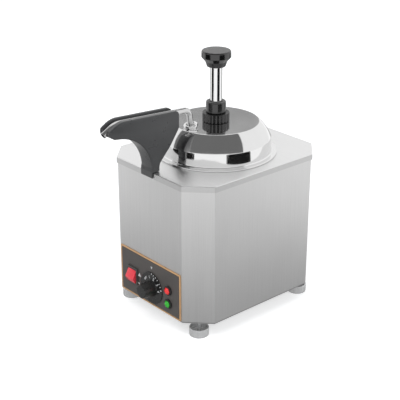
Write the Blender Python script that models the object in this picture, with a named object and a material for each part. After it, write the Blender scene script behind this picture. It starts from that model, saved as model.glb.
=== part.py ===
"""Countertop hot topping warmer: a heated cabinet with a lift-out jar, a pump lid and a heated spout.

Metres, +Z up. The control panel faces -Y and the spout reaches out over it.
"""

from math import asin, atan2, cos, pi, radians, sin, sqrt, tan

import bmesh
import bpy
from mathutils import Matrix, Vector

# General allowances
GAP = 0.0003
OVERRUN = 0.004
RUNNING_GAP = 0.0004
MERGE = 0.000001

# Facet counts
BIG_ROUND = 40
MID_ROUND = 20
SMALL_ROUND = 14
TINY_ROUND = 8
CORNER_STEPS = 2
HEX = 6

# Cabinet
DECK_WIDTH = 0.220
CORNER_SHARE = 0.1559
CONTROL_ROOM = 0.0050
DECK_TOP = 0.2475
DECK_SHEET = 0.0010
DECK_LIP = 0.0090
DECK_BEND = 0.0012
SHELL_SHEET = 0.0010
SHELL_FLANGE = 0.012
BASE_HEIGHT = 0.025
BASE_SHEET = 0.0015
VENT_COUNT = 6
VENT_LENGTH = 0.044
VENT_WIDTH = 0.006
VENT_PITCH = 0.014

# Well, heater and insulation
WELL_SHEET = 0.0010
WELL_FLOOR = 0.046
WELL_FLANGE_REACH = 0.0115
WELL_CORNER = 0.010
DECK_HOLE_PLAY = 0.0010
HEATER_BOTTOM = 0.060
HEATER_HEIGHT = 0.050
HEATER_THICKNESS = 0.004
HEATER_SPLIT_ANGLE = radians(8)
CLAMP_EAR_REACH = 0.009
CLAMP_EAR_WIDTH = 0.020
CLAMP_EAR_SHEET = 0.0020
CLAMP_BOLT_RADIUS = 0.0020
CLAMP_HEAD_RADIUS = 0.0038
CLAMP_HEAD_HEIGHT = 0.0030
SLEEVE_THICKNESS = 0.0110
SLEEVE_ROOM = 0.0046
SLEEVE_BOTTOM = 0.052
SLEEVE_TOP_ROOM = 0.006

# Jar
JAR_PLAY = 0.003
JAR_SHEET = 0.0008
JAR_RIM_REACH = 0.0030
JAR_RIM_HEIGHT = 0.0014
JAR_FLOOR_ROOM = 0.0025
JAR_CORNER = 0.009

# Pump lid
LID_SHEET = 0.0010
LID_RISE = 0.0479
LID_CONE_RISE = 0.0238
LID_CONE_RUN = 0.0192
LID_RIM_PLAY = 0.0040
LID_FLANGE_REACH = 0.0080
LID_BEND = 0.0030

# Feet
FOOT_INSET = 0.013
FOOT_RADIUS = 0.015
FOOT_HEIGHT = 0.0130
FOOT_WALL = 0.0020
FOOT_FLOOR = 0.0030
FOOT_CHAMFER = 0.0012
STUD_RADIUS = 0.0030
STUD_END = 0.036
FOOT_NUT_RADIUS = 0.0065
FOOT_NUT_HEIGHT = 0.0055

# Fasteners
SCREW_RADIUS = 0.0018
SCREW_HEAD_RADIUS = 0.0036
SCREW_HEAD_HEIGHT = 0.0018
SCREW_LENGTH = 0.0075
SCREW_INSET = 0.0070
BASE_SCREW_INSET = 0.0437
SPOUT_SCREW_SPACING = 0.0180
SPOUT_SCREW_DEPTH = 0.0080

# Control panel
PANEL_MARGIN = 0.0037
PANEL_BOTTOM = 0.0264
PANEL_TOP = 0.1040
PANEL_THICKNESS = 0.0008
PANEL_CORNER = 0.0020
SWITCH_X = -0.0420
SWITCH_Z = 0.0610
SWITCH_WIDTH = 0.0255
SWITCH_HEIGHT = 0.0290
SWITCH_RIM = 0.0025
SWITCH_FRAME = 0.0028
SWITCH_SNAP = 0.0016
SWITCH_DEPTH = 0.0220
SWITCH_CORNER = 0.0020
SWITCH_POCKET = 0.0095
ROCKER_CROWN = 0.0050
ROCKER_EDGE = 0.0024
ROCKER_BACK = 0.0050
ROCKER_TILT = radians(7)
ROCKER_END_PLAY = 0.0009
ROCKER_SINK = 0.0020
PIVOT_RADIUS = 0.0012
PIVOT_REACH = 0.0012
DIAL_X = 0.0043
DIAL_Z = 0.0570
DIAL_RADIUS = 0.0260
DIAL_SKIRT = 0.0012
DIAL_GRIP_BASE = 0.0138
DIAL_GRIP_TIP = 0.0104
DIAL_GRIP_HEIGHT = 0.0215
DIAL_STANDOFF = 0.0005
DIAL_EDGE = 0.0007
DIAL_RECESS_PLAY = 0.0010
SHAFT_RADIUS = 0.0030
SHAFT_FLAT = 0.0020
SHAFT_REACH = 0.0150
SHAFT_TAIL = 0.0060
BUSHING_RADIUS = 0.0048
BUSHING_NUT_RADIUS = 0.0080
BUSHING_NUT_HEIGHT = 0.0022
THERMOSTAT_WIDTH = 0.0380
THERMOSTAT_HEIGHT = 0.0320
THERMOSTAT_DEPTH = 0.0180
LAMP_X = 0.0443
LAMP_RED_Z = 0.0684
LAMP_GREEN_Z = 0.0460
LAMP_RIM_RADIUS = 0.0078
LAMP_RIM_HEIGHT = 0.0026
LAMP_STEM_RADIUS = 0.0060
LAMP_STEM_DEPTH = 0.0200
LAMP_LENS_RADIUS = 0.0056
LAMP_LENS_CROWN = 0.0022
LAMP_SEAT_DEPTH = 0.0015
LAMP_FACETS = 10

# Thermostat bulb and capillary
BULB_RADIUS = 0.0030
BULB_LENGTH = 0.055
BULB_ANGLE = radians(-75)
CAPILLARY_RADIUS = 0.0009
CAPILLARY_BEND = 0.006

# Wiring hardware
CUTOUT_RADIUS = 0.0080
CUTOUT_HEIGHT = 0.0070
CUTOUT_OFFSET = 0.030
CUTOUT_TAB = 0.0025
BLOCK_LENGTH = 0.036
BLOCK_WIDTH = 0.016
BLOCK_HEIGHT = 0.014
BLOCK_SIDE_ROOM = 0.0567
BLOCK_REAR_ROOM = 0.0317
BLOCK_WAYS = 3
BLOCK_WELL_RADIUS = 0.0030
BLOCK_WELL_DEPTH = 0.0060
GLAND_X = 0.030
GLAND_Z = 0.052
GLAND_THREAD_RADIUS = 0.0085
GLAND_HEAD_RADIUS = 0.0125
GLAND_HEAD_LENGTH = 0.0060
GLAND_DOME_RADIUS = 0.0095
GLAND_DOME_LENGTH = 0.0080
GLAND_THREAD_LENGTH = 0.0090
GLAND_BORE = 0.0038
GLAND_NUT_RADIUS = 0.0120
GLAND_NUT_HEIGHT = 0.0045

# Pump head on the lid
CYLINDER_RADIUS = 0.0120
CYLINDER_WALL = 0.0010
CYLINDER_TOP_RISE = 0.0120
CYLINDER_FLANGE_RADIUS = 0.0170
CYLINDER_FLANGE = 0.0020
WASHER_THICKNESS = 0.0015
NUT_RADIUS = 0.0207
NUT_HEIGHT = 0.0134
NUT_EDGE = 0.0010
COLLAR_RADIUS = 0.0151
COLLAR_HEIGHT = 0.0171
COLLAR_EDGE = 0.0030
COLLAR_STEM = 0.0071
COLLAR_DISH = 0.0020
COLLAR_DISH_DEPTH = 0.0015

# Plunger
SLEEVE_RADIUS = 0.0091
PLUNGER_WALL = 0.0012
PLUNGER_FOOT = 0.0020
PLUNGER_SHOWN = 0.0534
STROKE = 0.050
ROD_RADIUS = 0.0030
ROD_SOCKET = 0.0050
PISTON_HEIGHT = 0.0120
PISTON_GROOVE = 0.0036
PISTON_GROOVE_DEPTH = 0.0022
PISTON_ROOM = 0.0060
PISTON_END_ROOM = 0.0060
KNOB_NECK_RADIUS = 0.0138
KNOB_WAIST_RADIUS = 0.0165
KNOB_RADIUS = 0.0222
KNOB_WAIST_RISE = 0.0080
KNOB_SHOULDER_RISE = 0.0144
KNOB_HEIGHT = 0.0245
KNOB_EDGE = 0.0020
KNOB_SOCKET = 0.0110

# Return spring
SPRING_WIRE = 0.0006
SPRING_LENGTH = 0.0750
SPRING_TURNS = 8
SPRING_POINTS = 8
SEAT_THICKNESS = 0.0050

# Pump body in the jar
CHAMBER_RADIUS = 0.0095
VALVE_RADIUS = 0.0150
VALVE_SOCKET = 0.0100
VALVE_LENGTH = 0.0460
VALVE_BORE = 0.0062
VALVE_SEAT_BORE = 0.0040
VALVE_SEAT_RISE = 0.0120
BALL_RADIUS = 0.0050
BALL_LIFT = 0.0030
BALL_BAR_RADIUS = 0.0009
INTAKE_RADIUS = 0.0078
INTAKE_NOTCH_WIDTH = 0.0060
INTAKE_NOTCH_HEIGHT = 0.0070
PORT_RADIUS = 0.0035
CROSS_PORT_RADIUS = 0.0030
PORT_BOSS_RADIUS = 0.0078
PORT_ARM_RADIUS = 0.0060
PORT_BOSS_TOP = 0.0040
TUBE_SOCKET = 0.0100
PORT_REACH = 0.0259

# Discharge tube
TUBE_RADIUS = 0.0046
TUBE_WALL = 0.0008
TUBE_EXIT_INSET = 0.0168
TUBE_RISER_BEND = 0.0110
TUBE_NOSE_BEND = 0.0280
TUBE_NOSE_REACH = 0.0558
TUBE_NOSE_ANGLE = radians(30)
TUBE_END_REACH = 0.0765
TUBE_SUNK = 0.0015
FERRULE_RADIUS = 0.0108
FERRULE_HEIGHT = 0.0040
FERRULE_PLAY = 0.0012
TUBE_HOLE_PLAY = 0.0008

# Spout housing
SPOUT_WIDTH = 0.0262
SPOUT_REAR_SETBACK = 0.0505
SPOUT_RISE = 0.0842
SPOUT_RAIL_SLOPE = radians(3.4)
SPOUT_TOP_REACH = 0.0550
SPOUT_NOSE_REACH = 0.0730
SPOUT_NOSE_BEND = 0.0340
SPOUT_NOSE_DROP = 0.0107
SPOUT_NOSE_FACE = 0.0080
SPOUT_CHIN_REACH = 0.0655
SPOUT_CHIN_DROP = 0.0235
SPOUT_ARCH_RADIUS = 0.0660
SPOUT_ARCH_SWEEP = radians(83)
SPOUT_ARCH_STEPS = 14
SPOUT_FOOT_INSET = 0.0005
SPOUT_FOOT_LENGTH = 0.0135
SPOUT_HEEL_RISE = 0.0110
SPOUT_THROAT_SETBACK = 0.0355
SPOUT_THROAT_RISE = 0.0335
SPOUT_BACK_RISE = 0.0580
SPOUT_REAR_BEND = 0.0060
SLOT_PLAY = 0.0003
SLOT_DEPTH = 0.0240
SLOT_FRONT_REACH = 0.0390
HEATER_ROD_RADIUS = 0.0031
HEATER_ROD_LENGTH = 0.0720
HEATER_ROD_RISE = 0.0056
LEAD_BORE_RADIUS = 0.0025

# Places that follow from the sizes above
LIP_PLAY = GAP
DECK_CORNER = DECK_WIDTH * CORNER_SHARE
DECK_DEPTH = DECK_WIDTH + 2 * (THERMOSTAT_DEPTH + CONTROL_ROOM)
FRONT_EDGE = -DECK_DEPTH / 2
SHELL_WIDTH = DECK_WIDTH - 2 * (DECK_SHEET + LIP_PLAY)
SHELL_DEPTH = DECK_DEPTH - 2 * (DECK_SHEET + LIP_PLAY)
DECK_UNDERSIDE = DECK_TOP - DECK_SHEET
SHELL_BOTTOM = BASE_HEIGHT + BASE_SHEET + GAP
FLANGE_SEAT = DECK_TOP + GAP + WELL_SHEET
SLEEVE_OUTER = SHELL_WIDTH / 2 - SHELL_SHEET - GAP
SLEEVE_BORE = SLEEVE_OUTER - SLEEVE_THICKNESS
WELL_OUTER = SLEEVE_BORE - SLEEVE_ROOM - CLAMP_EAR_REACH - HEATER_THICKNESS - GAP
WELL_BORE = WELL_OUTER - WELL_SHEET
WELL_FLANGE = WELL_BORE + WELL_FLANGE_REACH
JAR_RADIUS = WELL_BORE - JAR_PLAY
JAR_RIM_RADIUS = WELL_BORE + JAR_RIM_REACH
JAR_BOTTOM = WELL_FLOOR + JAR_FLOOR_ROOM
JAR_FLOOR = JAR_BOTTOM + JAR_SHEET
LID_TOP = DECK_TOP + LID_RISE
LID_CONE_FOOT = DECK_TOP + LID_CONE_RISE
LID_BAND_RADIUS = JAR_RIM_RADIUS + LID_RIM_PLAY + LID_SHEET
LID_DISC_RADIUS = LID_BAND_RADIUS - LID_CONE_RUN
LID_FLANGE_RADIUS = LID_BAND_RADIUS + LID_FLANGE_REACH
FRONT_FACE = -SHELL_DEPTH / 2
PANEL_WIDTH = DECK_WIDTH - 2 * (DECK_CORNER + PANEL_MARGIN)
BLOCK_X = BLOCK_SIDE_ROOM - SHELL_WIDTH / 2
BLOCK_Y = SHELL_DEPTH / 2 - BLOCK_REAR_ROOM
NUT_BOTTOM = LID_TOP + GAP
COLLAR_BOTTOM = NUT_BOTTOM + NUT_HEIGHT + GAP
COLLAR_TOP = COLLAR_BOTTOM + COLLAR_HEIGHT
CYLINDER_BORE = CYLINDER_RADIUS - CYLINDER_WALL
CYLINDER_TOP = LID_TOP + CYLINDER_TOP_RISE
WASHER_TOP = LID_TOP - LID_SHEET - GAP
FLANGE_TOP = WASHER_TOP - WASHER_THICKNESS - GAP
STEM_BOTTOM = COLLAR_BOTTOM - COLLAR_STEM
PLUNGER_BOTTOM = STEM_BOTTOM - GAP - PLUNGER_FOOT
KNOB_BOTTOM = COLLAR_TOP + PLUNGER_SHOWN
SPRING_TOP = PLUNGER_BOTTOM - GAP
SPRING_BOTTOM = SPRING_TOP - SPRING_LENGTH
SEAT_TOP = SPRING_BOTTOM - GAP
LEDGE = SEAT_TOP - SEAT_THICKNESS - GAP
PISTON_TOP = LEDGE - PISTON_ROOM
PISTON_BOTTOM = PISTON_TOP - PISTON_HEIGHT
CYLINDER_BOTTOM = PISTON_BOTTOM - STROKE - PISTON_END_ROOM
VALVE_TOP = CYLINDER_BOTTOM + VALVE_SOCKET
VALVE_BOTTOM = VALVE_TOP - VALVE_LENGTH
INTAKE_BOTTOM = JAR_FLOOR + GAP
RAIL_RISE = tan(SPOUT_RAIL_SLOPE)
SLOT_WIDTH = 2 * (TUBE_RADIUS + SLOT_PLAY)
ARCH_CENTRE_Y = FRONT_EDGE + SPOUT_FOOT_INSET - SPOUT_ARCH_RADIUS
SPOUT_RAIL_TOP = DECK_TOP + SPOUT_RISE
SPOUT_REAR_Y = FRONT_EDGE + SPOUT_REAR_SETBACK
SPOUT_THROAT_Y = FRONT_EDGE + SPOUT_THROAT_SETBACK
SPOUT_NOSE_TOP_Y = FRONT_EDGE - SPOUT_TOP_REACH
SPOUT_NOSE_Y = FRONT_EDGE - SPOUT_NOSE_REACH
SPOUT_CHIN_Y = FRONT_EDGE - SPOUT_CHIN_REACH
SLOT_FRONT_Y = FRONT_EDGE - SLOT_FRONT_REACH
TUBE_EXIT_Y = TUBE_EXIT_INSET - LID_DISC_RADIUS
TUBE_FOOT = VALVE_TOP - PORT_BOSS_TOP - TUBE_SOCKET + GAP
TUBE_LEAN = (-PORT_REACH - TUBE_EXIT_Y) / (LID_TOP - TUBE_FOOT)
TUBE_NOSE_Y = FRONT_EDGE - TUBE_NOSE_REACH
TUBE_END_Y = FRONT_EDGE - TUBE_END_REACH


def clear_scene():
    for item in list(bpy.data.objects):
        bpy.data.objects.remove(item, do_unlink=True)


def make_finish(name, colour, roughness, metallic):
    finish = bpy.data.materials.new(name)
    finish.use_nodes = True
    shader = finish.node_tree.nodes["Principled BSDF"]
    shader.inputs["Base Color"].default_value = (*colour, 1)
    shader.inputs["Roughness"].default_value = roughness
    shader.inputs["Metallic"].default_value = metallic
    return finish


def place(item, finish, parent, location=(0, 0, 0)):
    bpy.context.scene.collection.objects.link(item)
    item.data.materials.append(make_finish(item.name, *finish))
    item.parent = parent
    item.location = location
    return item


def closed_mesh(name, shape):
    """Makes a bmesh into mesh data: doubled points merged, loose edges dropped, faces pointing out."""
    bmesh.ops.remove_doubles(shape, verts=shape.verts, dist=MERGE)
    loose = [edge for edge in shape.edges if not edge.link_faces]
    bmesh.ops.delete(shape, geom=loose, context="EDGES")
    bmesh.ops.recalc_face_normals(shape, faces=shape.faces)
    mesh = bpy.data.meshes.new(name)
    shape.to_mesh(mesh)
    shape.free()
    return mesh


def solid(name, shape, finish, parent, location=(0, 0, 0), smooth=True):
    """Turns a closed bmesh into one placed object."""
    mesh = closed_mesh(name, shape)
    if smooth:
        mesh.shade_smooth()
        mesh.set_sharp_from_angle(angle=radians(35))
    return place(bpy.data.objects.new(name, mesh), finish, parent, location)


def rounded(corners, steps=CORNER_STEPS, closed=True):
    """Replaces each (a, b, radius) corner of an outline by an arc; (a, b) corners stay sharp."""
    points = []
    count = len(corners)
    for index, corner in enumerate(corners):
        here = Vector(corner[:2])
        if len(corner) == 2 or corner[2] <= 0 or (not closed and index in (0, count - 1)):
            points.append(tuple(here))
            continue
        before = Vector(corners[index - 1][:2]) - here
        after = Vector(corners[(index + 1) % count][:2]) - here
        turn = before.angle(after)
        reach = min(corner[2] / tan(turn / 2), before.length / 2, after.length / 2)
        radius = reach * tan(turn / 2)
        middle = here + (before.normalized() + after.normalized()).normalized() * radius / sin(turn / 2)
        start = here + before.normalized() * reach - middle
        sweep = start.angle_signed(here + after.normalized() * reach - middle)
        for step in range(steps + 1):
            spoke = start.copy()
            spoke.rotate(Matrix.Rotation(-sweep * step / steps, 2))
            points.append(tuple(middle + spoke))
    return points


def turned(profile, segments, angle=2 * pi):
    """Revolves a closed (radius, height) profile round the Z axis."""
    shape = bmesh.new()
    ring = [shape.verts.new((radius, 0, height)) for radius, height in profile]
    edges = [shape.edges.new((ring[i - 1], ring[i])) for i in range(len(ring))]
    whole = angle >= 2 * pi
    if not whole:
        shape.faces.new(ring)
    geometry = ring + edges
    spun = bmesh.ops.spin(
        shape, geom=geometry, cent=(0, 0, 0), axis=(0, 0, 1), angle=angle, steps=segments, use_merge=whole
    )
    if not whole:
        last = [piece for piece in spun["geom_last"] if isinstance(piece, bmesh.types.BMEdge)]
        bmesh.ops.contextual_create(shape, geom=last)
    return shape


def pushed(outline, depth):
    """Extrudes a flat (x, y) outline upwards from z = 0 by depth."""
    shape = bmesh.new()
    face = shape.faces.new([shape.verts.new((x, y, 0)) for x, y in outline])
    grown = bmesh.ops.extrude_face_region(shape, geom=[face])
    top = [piece for piece in grown["geom"] if isinstance(piece, bmesh.types.BMVert)]
    bmesh.ops.translate(shape, verts=top, vec=(0, 0, depth))
    return shape


def moved(shape, offset):
    bmesh.ops.translate(shape, verts=shape.verts, vec=offset)
    return shape


def side_cut(outline, width):
    """Extrudes a (y, z) outline across X, centred on X = 0."""
    shape = pushed(outline, width)
    turn = Matrix(((0, 0, 1), (1, 0, 0), (0, 1, 0))).to_4x4()
    bmesh.ops.transform(shape, matrix=turn, verts=shape.verts)
    return moved(shape, (-width / 2, 0, 0))


def rod(radius, start, end, segments, start_radius=None):
    """A round bar between two points, or a cone if the start radius differs."""
    start, end = Vector(start), Vector(end)
    shape = bmesh.new()
    way = end - start
    frame = Matrix.Translation((start + end) / 2) @ way.to_track_quat("Z", "Y").to_matrix().to_4x4()
    first = radius if start_radius is None else start_radius
    bmesh.ops.create_cone(
        shape,
        cap_ends=True,
        segments=segments,
        radius1=first,
        radius2=radius,
        depth=way.length,
        matrix=frame,
    )
    return shape


def joined(*shapes):
    """Puts several closed shapes into one bmesh, for a cutter or a union tool."""
    total = bmesh.new()
    for shape in shapes:
        mesh = bpy.data.meshes.new("loan")
        shape.to_mesh(mesh)
        shape.free()
        total.from_mesh(mesh)
        bpy.data.meshes.remove(mesh)
    return total


def combine(target, shape, operation):
    """Cuts a shape from an object or fuses it on; the shape shares the object's own frame."""
    tool = bpy.data.objects.new(f"{target.name}_tool", closed_mesh(f"{target.name}_tool", shape))
    bpy.context.scene.collection.objects.link(tool)
    tool.parent = target
    tool.hide_render = True
    tool.display_type = "WIRE"
    step = target.modifiers.new(operation.lower(), "BOOLEAN")
    step.operation = operation
    step.object = tool
    step.use_self = operation == "UNION"


def cut(target, shape):
    combine(target, shape, "DIFFERENCE")


def fuse(target, shape):
    combine(target, shape, "UNION")


def skin(shape, first, second):
    """Joins two rings of as many vertices by a band of quads."""
    for index in range(len(first)):
        shape.faces.new((first[index - 1], first[index], second[index], second[index - 1]))


def pipe(points, outer, inner, segments):
    """Sweeps a hollow round pipe along (y, z) points in the plane X = 0."""
    shape = bmesh.new()
    across = Vector((1, 0, 0))
    stations = [Vector((0, y, z)) for y, z in points]
    last = len(stations) - 1
    ends = []
    for radius in (outer, inner):
        rings = []
        for index, here in enumerate(stations):
            ahead = (stations[min(index + 1, last)] - stations[min(index, last - 1)]).normalized()
            behind = (stations[max(index, 1)] - stations[max(index - 1, 0)]).normalized()
            way = (ahead + behind).normalized()
            side = way.cross(across) / way.dot(ahead)
            frame = Matrix.Translation(here) @ Matrix((across, side, way)).transposed().to_4x4()
            ring = bmesh.ops.create_circle(shape, segments=segments, radius=radius, matrix=frame)
            rings.append(ring["verts"])
        for first, second in zip(rings, rings[1:]):
            skin(shape, first, second)
        ends.append((rings[0], rings[-1]))
    for side in (0, 1):
        skin(shape, ends[0][side], ends[1][side])
    return shape


def octagon(width, depth, corner, inset=0.0):
    """A rectangle with its four corners cut at 45 degrees, drawn in by inset on every side."""
    half_x = width / 2 - inset
    half_y = depth / 2 - inset
    leg = corner - inset * (2 - sqrt(2))
    quarter = ((half_x, half_y - leg), (half_x - leg, half_y))
    other = ((-half_x + leg, half_y), (-half_x, half_y - leg))
    return [
        *quarter,
        *other,
        *((-x, -y) for x, y in quarter),
        *((-x, -y) for x, y in other),
    ]


def rectangle(width, height, corner=0.0):
    half_x, half_y = width / 2, height / 2
    spots = ((half_x, half_y), (-half_x, half_y), (-half_x, -half_y), (half_x, -half_y))
    return rounded([(x, y, corner) for x, y in spots])


def shaft_outline(radius, flat):
    """A round shaft's section with one flat, the given distance from its centre."""
    start = asin(flat / radius)
    sweep = pi + 2 * start
    return [
        (radius * cos(start - sweep * i / SMALL_ROUND), radius * sin(start - sweep * i / SMALL_ROUND))
        for i in range(SMALL_ROUND + 1)
    ]


def hexagon(radius):
    return [(radius * cos(i * 2 * pi / HEX), radius * sin(i * 2 * pi / HEX)) for i in range(HEX)]


def screw(name, finish, parent, head_face, length):
    """A pan-head screw whose head hangs below head_face, a point, with the shank above it."""
    profile = rounded(
        [
            (0, -SCREW_HEAD_HEIGHT),
            (SCREW_HEAD_RADIUS, -SCREW_HEAD_HEIGHT, SCREW_HEAD_HEIGHT / 2),
            (SCREW_HEAD_RADIUS, 0),
            (SCREW_RADIUS, 0),
            (SCREW_RADIUS, length),
            (0, length),
        ],
        steps=1,
    )
    return solid(name, turned(profile, TINY_ROUND), finish, parent, head_face)


# Finishes: colour, roughness, metallic
BRUSHED = ((0.62, 0.62, 0.63), 0.38, 1.0)
POLISHED = ((0.78, 0.78, 0.80), 0.08, 1.0)
PLAIN_STEEL = ((0.55, 0.55, 0.56), 0.45, 1.0)
ALUMINIUM = ((0.72, 0.72, 0.73), 0.35, 1.0)
BLACK_PLASTIC = ((0.012, 0.012, 0.013), 0.40, 0.0)
DARK_COAT = ((0.055, 0.057, 0.060), 0.45, 0.0)
PANEL_FILM = ((0.075, 0.065, 0.060), 0.50, 0.0)
RED_PLASTIC = ((0.50, 0.010, 0.010), 0.30, 0.0)
GREEN_PLASTIC = ((0.015, 0.25, 0.050), 0.25, 0.0)
WHITE_PLASTIC = ((0.70, 0.70, 0.66), 0.45, 0.0)
SILICONE = ((0.50, 0.12, 0.05), 0.60, 0.0)
GLASS_WOOL = ((0.72, 0.66, 0.48), 0.95, 0.0)
COPPER = ((0.60, 0.27, 0.13), 0.35, 1.0)
BRASS = ((0.60, 0.43, 0.16), 0.35, 1.0)


def foot_places():
    """Where the four feet stand: behind the middle of each cut corner."""
    reach_x = SHELL_WIDTH / 2 - DECK_CORNER / 2
    reach_y = SHELL_DEPTH / 2 - DECK_CORNER / 2
    drawn = FOOT_INSET / sqrt(2)
    names = {"front_left": (-1, -1), "front_right": (1, -1), "rear_left": (-1, 1), "rear_right": (1, 1)}
    return {name: (x * (reach_x - drawn), y * (reach_y - drawn)) for name, (x, y) in names.items()}


def base_screw_places():
    """Two screws near each end of the base, inside the shell's bottom flange."""
    x = SHELL_WIDTH / 2 - BASE_SCREW_INSET
    y = SHELL_DEPTH / 2 - SHELL_SHEET - SCREW_INSET
    return [(side * x, end * y) for side in (-1, 1) for end in (-1, 1)]


def front_holes(clearance):
    """The openings for the switch, the thermostat bushing and the lamps, in the panel's own frame."""
    reach = SHELL_SHEET + PANEL_THICKNESS + OVERRUN
    shrink = 2 * (SWITCH_SNAP - clearance)
    body = rectangle(SWITCH_WIDTH - shrink, SWITCH_HEIGHT - shrink)
    switch = moved(pushed(body, 2 * reach), (SWITCH_X, SWITCH_Z, -reach))
    rounds = [
        rod(radius + clearance, (x, z, -reach), (x, z, reach), SMALL_ROUND)
        for radius, x, z in (
            (BUSHING_RADIUS, DIAL_X, DIAL_Z),
            (LAMP_STEM_RADIUS, LAMP_X, LAMP_RED_Z),
            (LAMP_STEM_RADIUS, LAMP_X, LAMP_GREEN_Z),
        )
    ]
    return joined(switch, *rounds)


def build_base(parent):
    plate = solid(
        "base_plate",
        pushed(octagon(SHELL_WIDTH, SHELL_DEPTH, DECK_CORNER, SHELL_SHEET / 2), BASE_SHEET),
        PLAIN_STEEL,
        parent,
        (0, 0, BASE_HEIGHT),
        smooth=False,
    )
    low, high = -OVERRUN, BASE_SHEET + OVERRUN
    holes = [
        rod(radius, (x, y, low), (x, y, high), TINY_ROUND)
        for radius, places in (
            (STUD_RADIUS + RUNNING_GAP, foot_places().values()),
            (SCREW_RADIUS + GAP, base_screw_places()),
        )
        for x, y in places
    ]
    for index in range(VENT_COUNT):
        y = (index - (VENT_COUNT - 1) / 2) * VENT_PITCH
        slot = pushed(rectangle(VENT_LENGTH, VENT_WIDTH), high - low)
        holes.append(moved(slot, (0, y, low)))
    cut(plate, joined(*holes))
    for index, (x, y) in enumerate(base_screw_places(), 1):
        screw(f"base_screw_{index}", PLAIN_STEEL, parent, (x, y, BASE_HEIGHT - GAP), SCREW_LENGTH)


def front_frame(face_y):
    """The frame of the front panel: x to the right, y up and z out of the cabinet."""
    return Matrix.Translation((0, face_y, 0)) @ Matrix.Rotation(pi / 2, 4, "X")


def build_shell(parent):
    height = DECK_UNDERSIDE - GAP - SHELL_BOTTOM
    shell = solid(
        "body_shell",
        moved(pushed(octagon(SHELL_WIDTH, SHELL_DEPTH, DECK_CORNER), height), (0, 0, SHELL_BOTTOM)),
        BRUSHED,
        parent,
        smooth=False,
    )
    room = octagon(SHELL_WIDTH, SHELL_DEPTH, DECK_CORNER, SHELL_SHEET)
    cut(shell, moved(pushed(room, height), (0, 0, SHELL_BOTTOM + SHELL_SHEET)))
    mouth = octagon(SHELL_WIDTH, SHELL_DEPTH, DECK_CORNER, SHELL_FLANGE)
    low, high = SHELL_BOTTOM - OVERRUN, SHELL_BOTTOM + SHELL_SHEET + OVERRUN
    cut(shell, moved(pushed(mouth, high - low), (0, 0, low)))
    holes = [
        rod(radius, (x, y, low), (x, y, high), TINY_ROUND)
        for radius, places in (
            (FOOT_NUT_RADIUS + 2 * RUNNING_GAP, foot_places().values()),
            (SCREW_RADIUS + GAP, base_screw_places()),
        )
        for x, y in places
    ]
    cut(shell, joined(*holes))
    openings = front_holes(GAP)
    bmesh.ops.transform(openings, matrix=front_frame(FRONT_FACE), verts=openings.verts)
    rear = SHELL_DEPTH / 2
    gland = rod(
        GLAND_THREAD_RADIUS + GAP,
        (GLAND_X, rear - OVERRUN, GLAND_Z),
        (GLAND_X, rear + OVERRUN, GLAND_Z),
        SMALL_ROUND,
    )
    cut(shell, joined(openings, gland))


def spout_screw_places():
    y = FRONT_EDGE + SPOUT_FOOT_INSET + SPOUT_FOOT_LENGTH / 2
    return [(side * SPOUT_SCREW_SPACING / 2, y) for side in (-1, 1)]


def build_deck(parent):
    outline = octagon(DECK_WIDTH, DECK_DEPTH, DECK_CORNER)
    shape = moved(pushed(outline, DECK_LIP), (0, 0, DECK_TOP - DECK_LIP))
    rim = [
        edge
        for edge in shape.edges
        if all(abs(vert.co.z - DECK_TOP) < MERGE for vert in edge.verts)
    ]
    bmesh.ops.bevel(
        shape, geom=rim, offset=DECK_BEND, segments=2, profile=0.5, affect="EDGES", offset_type="OFFSET"
    )
    deck = solid("top_deck", shape, POLISHED, parent)
    low = DECK_TOP - DECK_LIP - OVERRUN
    hollow = octagon(DECK_WIDTH, DECK_DEPTH, DECK_CORNER, DECK_SHEET)
    cut(deck, moved(pushed(hollow, DECK_UNDERSIDE - low), (0, 0, low)))
    top = DECK_TOP + OVERRUN
    hole = rod(WELL_OUTER + DECK_HOLE_PLAY, (0, 0, low), (0, 0, top), BIG_ROUND)
    places = spout_screw_places()
    small = [rod(SCREW_RADIUS + GAP, (x, y, low), (x, y, top), TINY_ROUND) for x, y in places]
    lead_y = places[0][1]
    lead = rod(LEAD_BORE_RADIUS, (0, lead_y, low), (0, lead_y, top), TINY_ROUND)
    cut(deck, joined(hole, lead, *small))


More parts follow.
